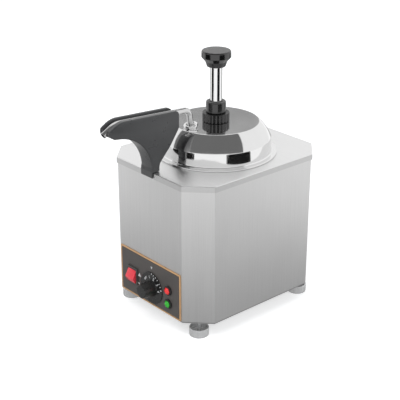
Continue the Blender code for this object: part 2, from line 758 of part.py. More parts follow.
def build_well(parent):
    under = WELL_FLOOR - WELL_SHEET
    seat = DECK_TOP + GAP
    profile = rounded(
        [
            (0, under),
            (WELL_OUTER, under, WELL_CORNER),
            (WELL_OUTER, seat),
            (WELL_FLANGE, seat),
            (WELL_FLANGE, FLANGE_SEAT),
            (WELL_BORE, FLANGE_SEAT),
            (WELL_BORE, WELL_FLOOR, WELL_CORNER - WELL_SHEET),
            (0, WELL_FLOOR),
        ]
    )
    solid("well", turned(profile, BIG_ROUND), PLAIN_STEEL, parent)

    inner = WELL_OUTER + GAP
    outer = inner + HEATER_THICKNESS
    band = turned(
        [
            (inner, HEATER_BOTTOM),
            (outer, HEATER_BOTTOM),
            (outer, HEATER_BOTTOM + HEATER_HEIGHT),
            (inner, HEATER_BOTTOM + HEATER_HEIGHT),
        ],
        BIG_ROUND,
        2 * pi - HEATER_SPLIT_ANGLE,
    )
    heater = solid("band_heater", band, COPPER, parent)
    heater.rotation_euler.z = pi / 2 + HEATER_SPLIT_ANGLE / 2
    middle = HEATER_BOTTOM + HEATER_HEIGHT / 2
    half_split = HEATER_SPLIT_ANGLE / 2
    bolt_x = outer + CLAMP_EAR_REACH / 2
    for side in (-1, 1):
        ear = pushed(rectangle(HEATER_THICKNESS + CLAMP_EAR_REACH, CLAMP_EAR_SHEET), CLAMP_EAR_WIDTH)
        ear_x = (inner + outer + CLAMP_EAR_REACH) / 2 + GAP
        moved(ear, (ear_x, side * CLAMP_EAR_SHEET / 2, middle - CLAMP_EAR_WIDTH / 2))
        turn = Matrix.Rotation(side * half_split - half_split, 4, "Z")
        bmesh.ops.transform(ear, matrix=turn, verts=ear.verts)
        fuse(heater, ear)
    turn = Matrix.Rotation(-half_split, 3, "Z")
    across = turn @ Vector((0, 1, 0))
    centre = turn @ Vector((bolt_x, 0, middle))
    grip = (bolt_x + CLAMP_HEAD_RADIUS) * tan(half_split) + CLAMP_EAR_SHEET / cos(half_split) + GAP
    cut(heater, rod(CLAMP_BOLT_RADIUS + GAP, centre - across * grip, centre + across * grip, TINY_ROUND))
    profile = [
        (0, -grip - CLAMP_HEAD_HEIGHT),
        (CLAMP_HEAD_RADIUS, -grip - CLAMP_HEAD_HEIGHT),
        (CLAMP_HEAD_RADIUS, -grip),
        (CLAMP_BOLT_RADIUS, -grip),
        (CLAMP_BOLT_RADIUS, grip),
        (CLAMP_HEAD_RADIUS, grip),
        (CLAMP_HEAD_RADIUS, grip + CLAMP_HEAD_HEIGHT),
        (0, grip + CLAMP_HEAD_HEIGHT),
    ]
    bolt = solid("heater_clamp_bolt", turned(profile, HEX * 2), PLAIN_STEEL, parent, (0, bolt_x, middle))
    bolt.rotation_euler.y = pi / 2

    sleeve_top = DECK_UNDERSIDE - SLEEVE_TOP_ROOM
    sleeve = [
        (SLEEVE_BORE, SLEEVE_BOTTOM),
        (SLEEVE_OUTER, SLEEVE_BOTTOM),
        (SLEEVE_OUTER, sleeve_top),
        (SLEEVE_BORE, sleeve_top),
    ]
    solid("insulation_sleeve", turned(sleeve, BIG_ROUND // 2), GLASS_WOOL, parent)


def build_wiring_parts(parent):
    under = WELL_FLOOR - WELL_SHEET - GAP
    cutout = [
        (0, under - CUTOUT_HEIGHT),
        (CUTOUT_RADIUS - CUTOUT_TAB / 2, under - CUTOUT_HEIGHT),
        (CUTOUT_RADIUS - CUTOUT_TAB / 2, under - CUTOUT_HEIGHT / 2),
        (CUTOUT_RADIUS, under - CUTOUT_HEIGHT / 2),
        (CUTOUT_RADIUS, under),
        (0, under),
    ]
    spot = (CUTOUT_OFFSET, CUTOUT_OFFSET / 2, 0)
    solid("thermal_cutout", turned(cutout, SMALL_ROUND), BLACK_PLASTIC, parent, spot)

    seat = BASE_HEIGHT + BASE_SHEET + GAP
    block = solid(
        "terminal_block",
        pushed(rectangle(BLOCK_LENGTH, BLOCK_WIDTH), BLOCK_HEIGHT),
        WHITE_PLASTIC,
        parent,
        (BLOCK_X, BLOCK_Y, seat),
        smooth=False,
    )
    floor = BLOCK_HEIGHT - BLOCK_WELL_DEPTH
    pitch = BLOCK_LENGTH / BLOCK_WAYS
    wells = [
        rod(
            BLOCK_WELL_RADIUS,
            ((index - (BLOCK_WAYS - 1) / 2) * pitch, 0, floor),
            ((index - (BLOCK_WAYS - 1) / 2) * pitch, 0, BLOCK_HEIGHT + OVERRUN),
            TINY_ROUND,
        )
        for index in range(BLOCK_WAYS)
    ]
    cut(block, joined(*wells))

    rear = SHELL_DEPTH / 2
    back = SHELL_SHEET + GLAND_THREAD_LENGTH
    front = GAP + GLAND_HEAD_LENGTH + GLAND_DOME_LENGTH
    gland = rounded(
        [
            (GLAND_BORE, -back),
            (GLAND_THREAD_RADIUS, -back),
            (GLAND_THREAD_RADIUS, GAP),
            (GLAND_HEAD_RADIUS, GAP),
            (GLAND_HEAD_RADIUS, GAP + GLAND_HEAD_LENGTH, GLAND_HEAD_RADIUS - GLAND_DOME_RADIUS),
            (GLAND_DOME_RADIUS, GAP + GLAND_HEAD_LENGTH),
            (GLAND_DOME_RADIUS, front, GLAND_DOME_LENGTH / 2),
            (GLAND_BORE, front),
        ],
        steps=1,
    )
    spot = (GLAND_X, rear, GLAND_Z)
    piece = solid("cord_gland", turned(gland, SMALL_ROUND), BLACK_PLASTIC, parent, spot)
    piece.rotation_euler.x = -pi / 2
    nut = pushed(hexagon(GLAND_NUT_RADIUS), GLAND_NUT_HEIGHT)
    moved(nut, (0, 0, -SHELL_SHEET - GAP - GLAND_NUT_HEIGHT))
    nut = solid("gland_nut", nut, BLACK_PLASTIC, parent, spot, smooth=False)
    nut.rotation_euler.x = -pi / 2
    cut(nut, rod(GLAND_THREAD_RADIUS + GAP, (0, 0, -back - OVERRUN), (0, 0, OVERRUN), SMALL_ROUND))


def build_panel(front):
    """The control panel and what is mounted in it, in the front frame."""
    face = GAP + PANEL_THICKNESS
    seat = face + GAP
    height = PANEL_TOP - PANEL_BOTTOM
    plate = pushed(rectangle(PANEL_WIDTH, height, PANEL_CORNER), PANEL_THICKNESS)
    moved(plate, (0, PANEL_BOTTOM + height / 2, GAP))
    panel = solid("control_panel", plate, PANEL_FILM, front, smooth=False)
    cut(panel, front_holes(GAP))

    place_switch = (SWITCH_X, SWITCH_Z, 0)
    top = seat + SWITCH_RIM
    frame = pushed(rectangle(SWITCH_WIDTH, SWITCH_HEIGHT, SWITCH_CORNER), SWITCH_RIM)
    moved(frame, (0, 0, seat))
    switch = solid("switch_body", frame, BLACK_PLASTIC, front, place_switch)
    body = rectangle(SWITCH_WIDTH - 2 * SWITCH_SNAP, SWITCH_HEIGHT - 2 * SWITCH_SNAP)
    fuse(switch, moved(pushed(body, SWITCH_DEPTH + SWITCH_RIM / 2 + seat), (0, 0, -SWITCH_DEPTH)))
    pocket = rectangle(SWITCH_WIDTH - 2 * SWITCH_FRAME, SWITCH_HEIGHT - 2 * SWITCH_FRAME)
    cut(switch, moved(pushed(pocket, SWITCH_POCKET + OVERRUN), (0, 0, top - SWITCH_POCKET)))
    axis = top - ROCKER_SINK
    pin = SWITCH_WIDTH / 2 - SWITCH_FRAME + PIVOT_REACH
    cut(switch, rod(PIVOT_RADIUS + GAP, (-pin - GAP, 0, axis), (pin + GAP, 0, axis), TINY_ROUND))

    half = SWITCH_HEIGHT / 2 - SWITCH_FRAME - ROCKER_END_PLAY
    outline = rounded(
        [
            (half, ROCKER_EDGE),
            (0, ROCKER_CROWN, ROCKER_CROWN),
            (-half, ROCKER_EDGE),
            (-half, 0),
            (-half / 2, -ROCKER_BACK),
            (half / 2, -ROCKER_BACK),
            (half, 0),
        ]
    )
    width = SWITCH_WIDTH - 2 * SWITCH_FRAME - 2 * GAP
    spot = (SWITCH_X, SWITCH_Z, axis)
    rocker = solid("switch_rocker", side_cut(outline, width), RED_PLASTIC, front, spot)
    rocker.rotation_euler.x = -ROCKER_TILT
    fuse(rocker, rod(PIVOT_RADIUS, (-pin, 0, 0), (pin, 0, 0), TINY_ROUND))

    lamps = (("red", LAMP_RED_Z, RED_PLASTIC), ("green", LAMP_GREEN_Z, GREEN_PLASTIC))
    for colour, lamp_z, finish in lamps:
        rim = seat + LAMP_RIM_HEIGHT
        floor = rim - LAMP_SEAT_DEPTH
        bore = LAMP_LENS_RADIUS + GAP
        body = rounded(
            [
                (0, -LAMP_STEM_DEPTH),
                (LAMP_STEM_RADIUS, -LAMP_STEM_DEPTH),
                (LAMP_STEM_RADIUS, seat),
                (LAMP_RIM_RADIUS, seat),
                (LAMP_RIM_RADIUS, rim, LAMP_RIM_HEIGHT / 3),
                (bore, rim),
                (bore, floor),
                (0, floor),
            ]
        )
        spot = (LAMP_X, lamp_z, 0)
        solid(f"lamp_{colour}_body", turned(body, SMALL_ROUND), BLACK_PLASTIC, front, spot)
        crown = rim + LAMP_LENS_CROWN
        lens = [
            (0, floor + GAP),
            (LAMP_LENS_RADIUS, floor + GAP),
            (LAMP_LENS_RADIUS, rim),
            (LAMP_LENS_RADIUS / 2, crown),
            (0, crown),
        ]
        solid(f"lamp_{colour}_lens", turned(lens, LAMP_FACETS), finish, front, spot, smooth=False)


def build_thermostat(front, dial):
    face = GAP + PANEL_THICKNESS
    back = -SHELL_SHEET - GAP
    box = pushed(rectangle(THERMOSTAT_WIDTH, THERMOSTAT_HEIGHT), THERMOSTAT_DEPTH)
    moved(box, (0, 0, back - THERMOSTAT_DEPTH))
    spot = (DIAL_X, DIAL_Z, 0)
    body = solid("thermostat_body", box, BLACK_PLASTIC, front, spot, smooth=False)
    reach = face + GAP + BUSHING_NUT_HEIGHT + GAP
    fuse(body, rod(BUSHING_RADIUS, (0, 0, back - BUSHING_RADIUS), (0, 0, reach), SMALL_ROUND))
    tail = back - SHAFT_TAIL
    cut(body, rod(SHAFT_RADIUS + GAP, (0, 0, tail - GAP), (0, 0, reach + OVERRUN), SMALL_ROUND))
    nut = moved(pushed(hexagon(BUSHING_NUT_RADIUS), BUSHING_NUT_HEIGHT), (0, 0, face + GAP))
    nut = solid("thermostat_nut", nut, BRASS, front, spot, smooth=False)
    cut(nut, rod(BUSHING_RADIUS + GAP, (0, 0, 0), (0, 0, reach + OVERRUN), SMALL_ROUND))

    rest = face + DIAL_STANDOFF
    outline = shaft_outline(SHAFT_RADIUS, SHAFT_FLAT)
    length = rest + SHAFT_REACH - tail
    solid("thermostat_shaft", moved(pushed(outline, length), (0, 0, tail - rest)), PLAIN_STEEL, dial)
    top = DIAL_GRIP_HEIGHT
    recess = BUSHING_NUT_RADIUS + DIAL_RECESS_PLAY
    recess_top = BUSHING_NUT_HEIGHT + 3 * GAP
    profile = rounded(
        [
            (recess, 0),
            (DIAL_RADIUS, 0, DIAL_EDGE / 2),
            (DIAL_RADIUS, DIAL_SKIRT, DIAL_EDGE / 2),
            (DIAL_GRIP_BASE, DIAL_SKIRT, DIAL_EDGE),
            (DIAL_GRIP_TIP, top, DIAL_EDGE * 2),
            (0, top),
            (0, recess_top),
            (recess, recess_top),
        ],
        steps=2,
    )
    knob = solid("thermostat_knob", turned(profile, MID_ROUND), BLACK_PLASTIC, dial)
    bore = shaft_outline(SHAFT_RADIUS + GAP, SHAFT_FLAT + GAP)
    cut(knob, moved(pushed(bore, SHAFT_REACH + GAP + OVERRUN), (0, 0, -OVERRUN)))


def build_capillary(parent):
    """The thermostat's sensing bulb on the well and the fine tube that leads to it."""
    heater_face = WELL_OUTER + GAP + HEATER_THICKNESS
    bulb_r = WELL_OUTER + GAP + BULB_RADIUS
    bulb_z = HEATER_BOTTOM + HEATER_HEIGHT + BULB_RADIUS
    drop_r = (heater_face + SLEEVE_BORE) / 2
    under_z = SLEEVE_BOTTOM - CAPILLARY_BEND
    end_x = DIAL_X + THERMOSTAT_WIDTH / 2 + GAP
    end = Vector((end_x, FRONT_FACE + SHELL_SHEET + THERMOSTAT_DEPTH / 2, under_z))
    ahead = Vector((cos(BULB_ANGLE), sin(BULB_ANGLE), 0))
    outside = ahead * (SLEEVE_OUTER + CAPILLARY_RADIUS)
    thin, thick = 1.0, BULB_RADIUS / CAPILLARY_RADIUS
    route = [
        (ahead * bulb_r + Vector((0, 0, bulb_z + BULB_LENGTH)), thick),
        (ahead * bulb_r + Vector((0, 0, bulb_z)), thick),
        (ahead * bulb_r + Vector((0, 0, bulb_z - CAPILLARY_RADIUS)), thin),
        (ahead * drop_r + Vector((0, 0, HEATER_BOTTOM + HEATER_HEIGHT - CAPILLARY_BEND)), thin),
        (ahead * drop_r + Vector((0, 0, HEATER_BOTTOM)), thin),
        (ahead * (drop_r + CAPILLARY_BEND) + Vector((0, 0, under_z)), thin),
        (outside + Vector((0, 0, under_z - CAPILLARY_RADIUS)), thin),
        (end + Vector((CAPILLARY_BEND, 0, 0)), thin),
        (end, thin),
    ]
    curve = bpy.data.curves.new("thermostat_bulb", "CURVE")
    curve.dimensions = "3D"
    curve.bevel_depth = CAPILLARY_RADIUS
    curve.bevel_resolution = 1
    curve.use_fill_caps = True
    spline = curve.splines.new("POLY")
    spline.points.add(len(route) - 1)
    for point, (spot, radius) in zip(spline.points, route):
        point.co = (*spot, 1)
        point.radius = radius
    place(bpy.data.objects.new("thermostat_bulb", curve), COPPER, parent)


def spout_rail(y):
    """The height of the spout's top rails at a distance y from the middle of the cabinet."""
    return SPOUT_RAIL_TOP + (SPOUT_REAR_Y - y) * RAIL_RISE


def tube_path():
    """The discharge tube's centre line, from its socket in the pump body to its mouth."""
    level = spout_rail(TUBE_EXIT_Y) - TUBE_SUNK - TUBE_RADIUS
    rise = (level - LID_TOP) / (1 - TUBE_LEAN * RAIL_RISE)
    riser = (TUBE_EXIT_Y - rise * TUBE_LEAN, LID_TOP + rise, TUBE_RISER_BEND)
    nose_z = spout_rail(TUBE_NOSE_Y) - TUBE_SUNK - TUBE_RADIUS
    nose = (TUBE_NOSE_Y, nose_z, TUBE_NOSE_BEND)
    end = (TUBE_END_Y, nose_z - (TUBE_NOSE_Y - TUBE_END_Y) * tan(TUBE_NOSE_ANGLE))
    return rounded([(-PORT_REACH, TUBE_FOOT), riser, nose, end], steps=CORNER_STEPS * 2, closed=False)


def spout_outline():
    """The housing's side view, as (y, z) points."""
    foot = DECK_TOP + GAP
    arch = [
        (
            ARCH_CENTRE_Y + SPOUT_ARCH_RADIUS * cos(SPOUT_ARCH_SWEEP * (1 - i / SPOUT_ARCH_STEPS)),
            foot + SPOUT_ARCH_RADIUS * sin(SPOUT_ARCH_SWEEP * (1 - i / SPOUT_ARCH_STEPS)),
        )
        for i in range(SPOUT_ARCH_STEPS + 1)
    ]
    heel_y = ARCH_CENTRE_Y + SPOUT_ARCH_RADIUS + SPOUT_FOOT_LENGTH
    nose_top = spout_rail(SPOUT_NOSE_TOP_Y)
    round_nose = SPOUT_NOSE_TOP_Y - SPOUT_NOSE_Y
    corners = [
        *arch,
        (heel_y, foot),
        (heel_y, foot + SPOUT_HEEL_RISE, SPOUT_THROAT_RISE),
        (SPOUT_THROAT_Y, foot + SPOUT_THROAT_RISE, SPOUT_THROAT_RISE),
        (SPOUT_REAR_Y, foot + SPOUT_BACK_RISE, SPOUT_FOOT_LENGTH),
        (SPOUT_REAR_Y, spout_rail(SPOUT_REAR_Y), SPOUT_REAR_BEND),
        (SPOUT_NOSE_TOP_Y, nose_top, SPOUT_NOSE_BEND),
        (SPOUT_NOSE_Y, nose_top - SPOUT_NOSE_DROP, round_nose / 4),
        (SPOUT_NOSE_Y, nose_top - SPOUT_NOSE_DROP - SPOUT_NOSE_FACE, round_nose / 4),
        (SPOUT_CHIN_Y, nose_top - SPOUT_CHIN_DROP),
    ]
    return rounded(corners, steps=CORNER_STEPS)


def slot_outline(play, top):
    """The room that the tube takes in the slot: its path widened downwards by play, open above."""
    start_y = SLOT_FRONT_Y + OVERRUN
    path = [(start_y, spout_rail(start_y) - TUBE_SUNK - TUBE_RADIUS)]
    path += [point for point in tube_path() if point[0] < SLOT_FRONT_Y]
    below = []
    for index, (y, z) in enumerate(path):
        before = path[max(index - 1, 0)]
        after = path[min(index + 1, len(path) - 1)]
        slope = atan2(after[1] - before[1], before[0] - after[0])
        reach = TUBE_RADIUS + play
        below.append((y - reach * sin(slope), z - reach * cos(slope)))
    last_y, last_z = below[-1]
    slope = tan(TUBE_NOSE_ANGLE)
    below.append((last_y - OVERRUN * 2, last_z - OVERRUN * 2 * slope))
    return [*below, (below[-1][0], top), (below[0][0], top)]


def build_spout(parent):
    housing = solid("spout_housing", side_cut(spout_outline(), SPOUT_WIDTH), DARK_COAT, parent)
    floor_rear = spout_rail(SPOUT_REAR_Y) - SLOT_DEPTH
    floor_front = spout_rail(SLOT_FRONT_Y) - SLOT_DEPTH
    top = spout_rail(SPOUT_NOSE_TOP_Y) + OVERRUN
    deep = [
        (SPOUT_REAR_Y + OVERRUN, floor_rear - OVERRUN * RAIL_RISE),
        (SPOUT_REAR_Y + OVERRUN, top),
        (SLOT_FRONT_Y, top),
        (SLOT_FRONT_Y, floor_front),
    ]
    cut(housing, side_cut(deep, SLOT_WIDTH))
    cut(housing, side_cut(slot_outline(SLOT_PLAY, top), SLOT_WIDTH))
    low = DECK_TOP - OVERRUN
    places = spout_screw_places()
    screw_top = DECK_TOP + SPOUT_SCREW_DEPTH
    screws = [rod(SCREW_RADIUS + GAP, (x, y, low), (x, y, screw_top), TINY_ROUND) for x, y in places]
    lead_y = places[0][1]
    lead = rod(LEAD_BORE_RADIUS, (0, lead_y, low), (0, lead_y, floor_rear + OVERRUN), TINY_ROUND)
    cut(housing, joined(lead, *screws))
    head = DECK_UNDERSIDE - GAP
    for index, (x, y) in enumerate(places, 1):
        screw(f"spout_screw_{index}", PLAIN_STEEL, parent, (x, y, head), screw_top - GAP - head)

    rise = -TUBE_SUNK - TUBE_RADIUS
    block_rear, block_front = SPOUT_REAR_Y - GAP, SLOT_FRONT_Y + GAP
    outline = [
        (block_front, spout_rail(block_front) - SLOT_DEPTH + GAP),
        (block_rear, spout_rail(block_rear) - SLOT_DEPTH + GAP),
        (block_rear, spout_rail(block_rear) + rise),
        (block_front, spout_rail(block_front) + rise),
    ]
    shape = side_cut(outline, SLOT_WIDTH - 2 * GAP)
    block = solid("spout_heat_block", shape, ALUMINIUM, parent, smooth=False)

    def along(y, offset):
        return (0, y, spout_rail(y) + offset)

    far, near = block_front - OVERRUN, block_rear + OVERRUN
    cut(block, rod(TUBE_RADIUS + GAP, along(far, rise), along(near, rise), MID_ROUND))
    axis = HEATER_ROD_RISE - SLOT_DEPTH
    cut(block, rod(HEATER_ROD_RADIUS + GAP, along(far, axis), along(near, axis), SMALL_ROUND))
    middle = (block_rear + block_front) / 2
    rod_shape = rod(
        HEATER_ROD_RADIUS,
        along(middle - HEATER_ROD_LENGTH / 2, axis),
        along(middle + HEATER_ROD_LENGTH / 2, axis),
        SMALL_ROUND,
    )
    solid("spout_heater", rod_shape, PLAIN_STEEL, parent)


def build_feet(parent):
    nut_seat = BASE_HEIGHT + BASE_SHEET + GAP
    for name, (x, y) in foot_places().items():
        bore = FOOT_RADIUS - FOOT_WALL
        cup = rounded(
            [
                (0, 0),
                (FOOT_RADIUS, 0, FOOT_CHAMFER),
                (FOOT_RADIUS, FOOT_HEIGHT, FOOT_WALL / 3),
                (bore, FOOT_HEIGHT),
                (bore, FOOT_FLOOR),
                (STUD_RADIUS, FOOT_FLOOR),
                (STUD_RADIUS, STUD_END, STUD_RADIUS / 4),
                (0, STUD_END),
            ],
            steps=1,
        )
        solid(f"foot_{name}", turned(cup, SMALL_ROUND), BRUSHED, parent, (x, y, 0))
        nut = solid(
            f"foot_nut_{name}",
            pushed(hexagon(FOOT_NUT_RADIUS), FOOT_NUT_HEIGHT),
            PLAIN_STEEL,
            parent,
            (x, y, nut_seat),
            smooth=False,
        )
        cut(nut, rod(STUD_RADIUS + GAP, (0, 0, -OVERRUN), (0, 0, FOOT_NUT_HEIGHT + OVERRUN), TINY_ROUND))


def build_jar(parent):
    seat = FLANGE_SEAT + GAP
    bore = JAR_RADIUS - JAR_SHEET
    top = seat + JAR_RIM_HEIGHT
    profile = rounded(
        [
            (0, JAR_BOTTOM),
            (JAR_RADIUS, JAR_BOTTOM, JAR_CORNER),
            (JAR_RADIUS, seat),
            (JAR_RIM_RADIUS, seat),
            (JAR_RIM_RADIUS, top, JAR_RIM_HEIGHT / 3),
            (bore, top, JAR_RIM_HEIGHT),
            (bore, JAR_FLOOR, JAR_CORNER - JAR_SHEET),
            (0, JAR_FLOOR),
        ]
    )
    solid("jar", turned(profile, BIG_ROUND), BRUSHED, parent)


def build_lid(parent):
    """The sheet lid: a flat disc, a cone, a plain band and a turned-down flange."""
    slope = atan2(LID_TOP - LID_CONE_FOOT, LID_BAND_RADIUS - LID_DISC_RADIUS)
    hole = CYLINDER_RADIUS + RUNNING_GAP
    flange_under = FLANGE_SEAT + GAP
    flange_top = flange_under + LID_SHEET
    lip = DECK_TOP + GAP
    lip_bore = LID_FLANGE_RADIUS - LID_SHEET
    inside = LID_BAND_RADIUS - LID_SHEET
    crown_in = LID_DISC_RADIUS - LID_SHEET * tan(slope / 2)
    foot_in = LID_CONE_FOOT - LID_SHEET * tan((pi / 2 - slope) / 2)
    profile = rounded(
        [
            (hole, LID_TOP),
            (hole, LID_TOP - LID_SHEET),
            (crown_in, LID_TOP - LID_SHEET),
            (inside, foot_in),
            (inside, flange_under),
            (lip_bore, flange_under),
            (lip_bore, lip),
            (LID_FLANGE_RADIUS, lip),
            (LID_FLANGE_RADIUS, flange_top, LID_SHEET),
            (LID_BAND_RADIUS, flange_top, LID_BEND - LID_SHEET),
            (LID_BAND_RADIUS, LID_CONE_FOOT, LID_BEND),
            (LID_DISC_RADIUS, LID_TOP, LID_BEND),
        ]
    )
    lid = solid("lid", turned(profile, BIG_ROUND), POLISHED, parent)
    low, high = LID_TOP - LID_SHEET - OVERRUN, LID_TOP + OVERRUN
    hole_radius = TUBE_RADIUS + TUBE_HOLE_PLAY
    cut(lid, rod(hole_radius, (0, TUBE_EXIT_Y, low), (0, TUBE_EXIT_Y, high), SMALL_ROUND))
    bore = TUBE_RADIUS + FERRULE_PLAY
    ring = rounded(
        [
            (bore, 0),
            (FERRULE_RADIUS, 0),
            (FERRULE_RADIUS, FERRULE_HEIGHT, FERRULE_HEIGHT / 2),
            (bore, FERRULE_HEIGHT, FERRULE_HEIGHT / 4),
        ],
        steps=1,
    )
    solid("tube_ferrule", turned(ring, SMALL_ROUND), POLISHED, parent, (0, TUBE_EXIT_Y, LID_TOP + GAP))


def build_pump_body(parent):
    cylinder = [
        (CYLINDER_RADIUS, CYLINDER_BOTTOM),
        (CYLINDER_RADIUS, FLANGE_TOP - CYLINDER_FLANGE),
        (CYLINDER_FLANGE_RADIUS, FLANGE_TOP - CYLINDER_FLANGE),
        (CYLINDER_FLANGE_RADIUS, FLANGE_TOP),
        (CYLINDER_RADIUS, FLANGE_TOP),
        (CYLINDER_RADIUS, CYLINDER_TOP),
        (CYLINDER_BORE, CYLINDER_TOP),
        (CYLINDER_BORE, LEDGE),
        (CHAMBER_RADIUS, LEDGE),
        (CHAMBER_RADIUS, CYLINDER_BOTTOM),
    ]
    solid("pump_cylinder", turned(cylinder, SMALL_ROUND), BRUSHED, parent)
    hole = CYLINDER_RADIUS + GAP
    washer = [
        (hole, WASHER_TOP - WASHER_THICKNESS),
        (CYLINDER_FLANGE_RADIUS, WASHER_TOP - WASHER_THICKNESS),
        (CYLINDER_FLANGE_RADIUS, WASHER_TOP),
        (hole, WASHER_TOP),
    ]
    solid("lid_washer", turned(washer, SMALL_ROUND), SILICONE, parent)
    nut = rounded(
        [
            (hole, 0),
            (NUT_RADIUS, 0, NUT_EDGE),
            (NUT_RADIUS, NUT_HEIGHT, NUT_EDGE),
            (hole, NUT_HEIGHT),
        ],
        steps=1,
    )
    solid("knurled_nut", turned(nut, MID_ROUND), BLACK_PLASTIC, parent, (0, 0, NUT_BOTTOM))
    bore = SLEEVE_RADIUS + GAP
    dish = bore + COLLAR_DISH
    collar = rounded(
        [
            (bore, -COLLAR_STEM),
            (CYLINDER_BORE - GAP, -COLLAR_STEM),
            (CYLINDER_BORE - GAP, 0),
            (COLLAR_RADIUS, 0),
            (COLLAR_RADIUS, COLLAR_HEIGHT, COLLAR_EDGE),
            (dish, COLLAR_HEIGHT),
            (dish - COLLAR_DISH_DEPTH, COLLAR_HEIGHT - COLLAR_DISH_DEPTH),
            (bore, COLLAR_HEIGHT - COLLAR_DISH_DEPTH),
        ]
    )
    solid("lock_collar", turned(collar, MID_ROUND), BLACK_PLASTIC, parent, (0, 0, COLLAR_BOTTOM))
    seat = [
        (ROD_RADIUS + RUNNING_GAP, LEDGE + GAP),
        (CYLINDER_BORE - GAP, LEDGE + GAP),
        (CYLINDER_BORE - GAP, SEAT_TOP),
        (ROD_RADIUS + RUNNING_GAP, SEAT_TOP),
    ]
    solid("spring_seat", turned(seat, SMALL_ROUND), WHITE_PLASTIC, parent)

    seat_z = VALVE_BOTTOM + VALVE_SEAT_RISE
    body = rounded(
        [
            (0, INTAKE_BOTTOM),
            (INTAKE_RADIUS, INTAKE_BOTTOM),
            (INTAKE_RADIUS, VALVE_BOTTOM),
            (VALVE_RADIUS, VALVE_BOTTOM, VALVE_RADIUS - INTAKE_RADIUS),
            (VALVE_RADIUS, VALVE_TOP, NUT_EDGE),
            (0, VALVE_TOP),
        ]
    )
    valve = solid("valve_body", turned(body, SMALL_ROUND), BLACK_PLASTIC, parent)

    def on_riser(z):
        return (0, -PORT_REACH - (z - TUBE_FOOT) * TUBE_LEAN, z)

    port_z = TUBE_FOOT - 2 * PORT_RADIUS
    boss_low = port_z - 2 * PORT_RADIUS
    boss_top = VALVE_TOP - PORT_BOSS_TOP
    fuse(valve, rod(PORT_BOSS_RADIUS, on_riser(boss_low), on_riser(boss_top), SMALL_ROUND))
    fuse(valve, rod(PORT_ARM_RADIUS, (0, 0, port_z), on_riser(port_z), SMALL_ROUND))
    cut(valve, rod(TUBE_RADIUS + GAP, on_riser(TUBE_FOOT - GAP), on_riser(boss_top + OVERRUN), SMALL_ROUND))
    cut(valve, rod(PORT_RADIUS, on_riser(port_z - PORT_RADIUS), on_riser(TUBE_FOOT + OVERRUN), TINY_ROUND))
    inside_port = (0, CROSS_PORT_RADIUS / 3 - PORT_REACH, port_z)
    cut(valve, rod(CROSS_PORT_RADIUS, (0, 0, port_z), inside_port, TINY_ROUND))
    socket_z = CYLINDER_BOTTOM - GAP
    bore = turned(
        [
            (0, INTAKE_BOTTOM - OVERRUN),
            (VALVE_SEAT_BORE, INTAKE_BOTTOM - OVERRUN),
            (VALVE_SEAT_BORE, seat_z),
            (VALVE_BORE, seat_z),
            (VALVE_BORE, socket_z),
            (CYLINDER_RADIUS + GAP, socket_z),
            (CYLINDER_RADIUS + GAP, VALVE_TOP + OVERRUN),
            (0, VALVE_TOP + OVERRUN),
        ],
        SMALL_ROUND,
    )
    cut(valve, bore)
    notch = rectangle(2 * (INTAKE_RADIUS + OVERRUN), INTAKE_NOTCH_WIDTH)
    depth = INTAKE_NOTCH_HEIGHT + OVERRUN
    cut(valve, moved(pushed(notch, depth), (0, 0, INTAKE_BOTTOM - OVERRUN)))
    rest = sqrt((BALL_RADIUS + GAP) ** 2 - VALVE_SEAT_BORE**2)
    ball_z = seat_z + rest
    bar_z = ball_z + BALL_RADIUS + BALL_LIFT + GAP + BALL_BAR_RADIUS
    bar_half = (VALVE_BORE + VALVE_RADIUS) / 2
    fuse(valve, rod(BALL_BAR_RADIUS, (-bar_half, 0, bar_z), (bar_half, 0, bar_z), HEX))

    tube = pipe(tube_path(), TUBE_RADIUS, TUBE_RADIUS - TUBE_WALL, SMALL_ROUND)
    solid("discharge_tube", tube, POLISHED, parent)
    return ball_z


def build_ball(parent):
    ball = bmesh.new()
    rings = TINY_ROUND // 2
    bmesh.ops.create_uvsphere(ball, u_segments=TINY_ROUND, v_segments=rings, radius=BALL_RADIUS)
    solid("intake_ball", ball, POLISHED, parent)


def build_spring(parent):
    mean = (CYLINDER_BORE + SLEEVE_RADIUS - PLUNGER_WALL) / 2
    low, high = SPRING_BOTTOM + SPRING_WIRE, SPRING_TOP - SPRING_WIRE
    count = SPRING_TURNS * SPRING_POINTS
    curve = bpy.data.curves.new("return_spring", "CURVE")
    curve.dimensions = "3D"
    curve.bevel_depth = SPRING_WIRE
    curve.bevel_resolution = 0
    curve.use_fill_caps = True
    spline = curve.splines.new("POLY")
    spline.points.add(count)
    for index, point in enumerate(spline.points):
        turn = 2 * pi * index / SPRING_POINTS
        height = low + (high - low) * index / count
        point.co = (mean * cos(turn), mean * sin(turn), height, 1)
    place(bpy.data.objects.new("return_spring", curve), PLAIN_STEEL, parent)


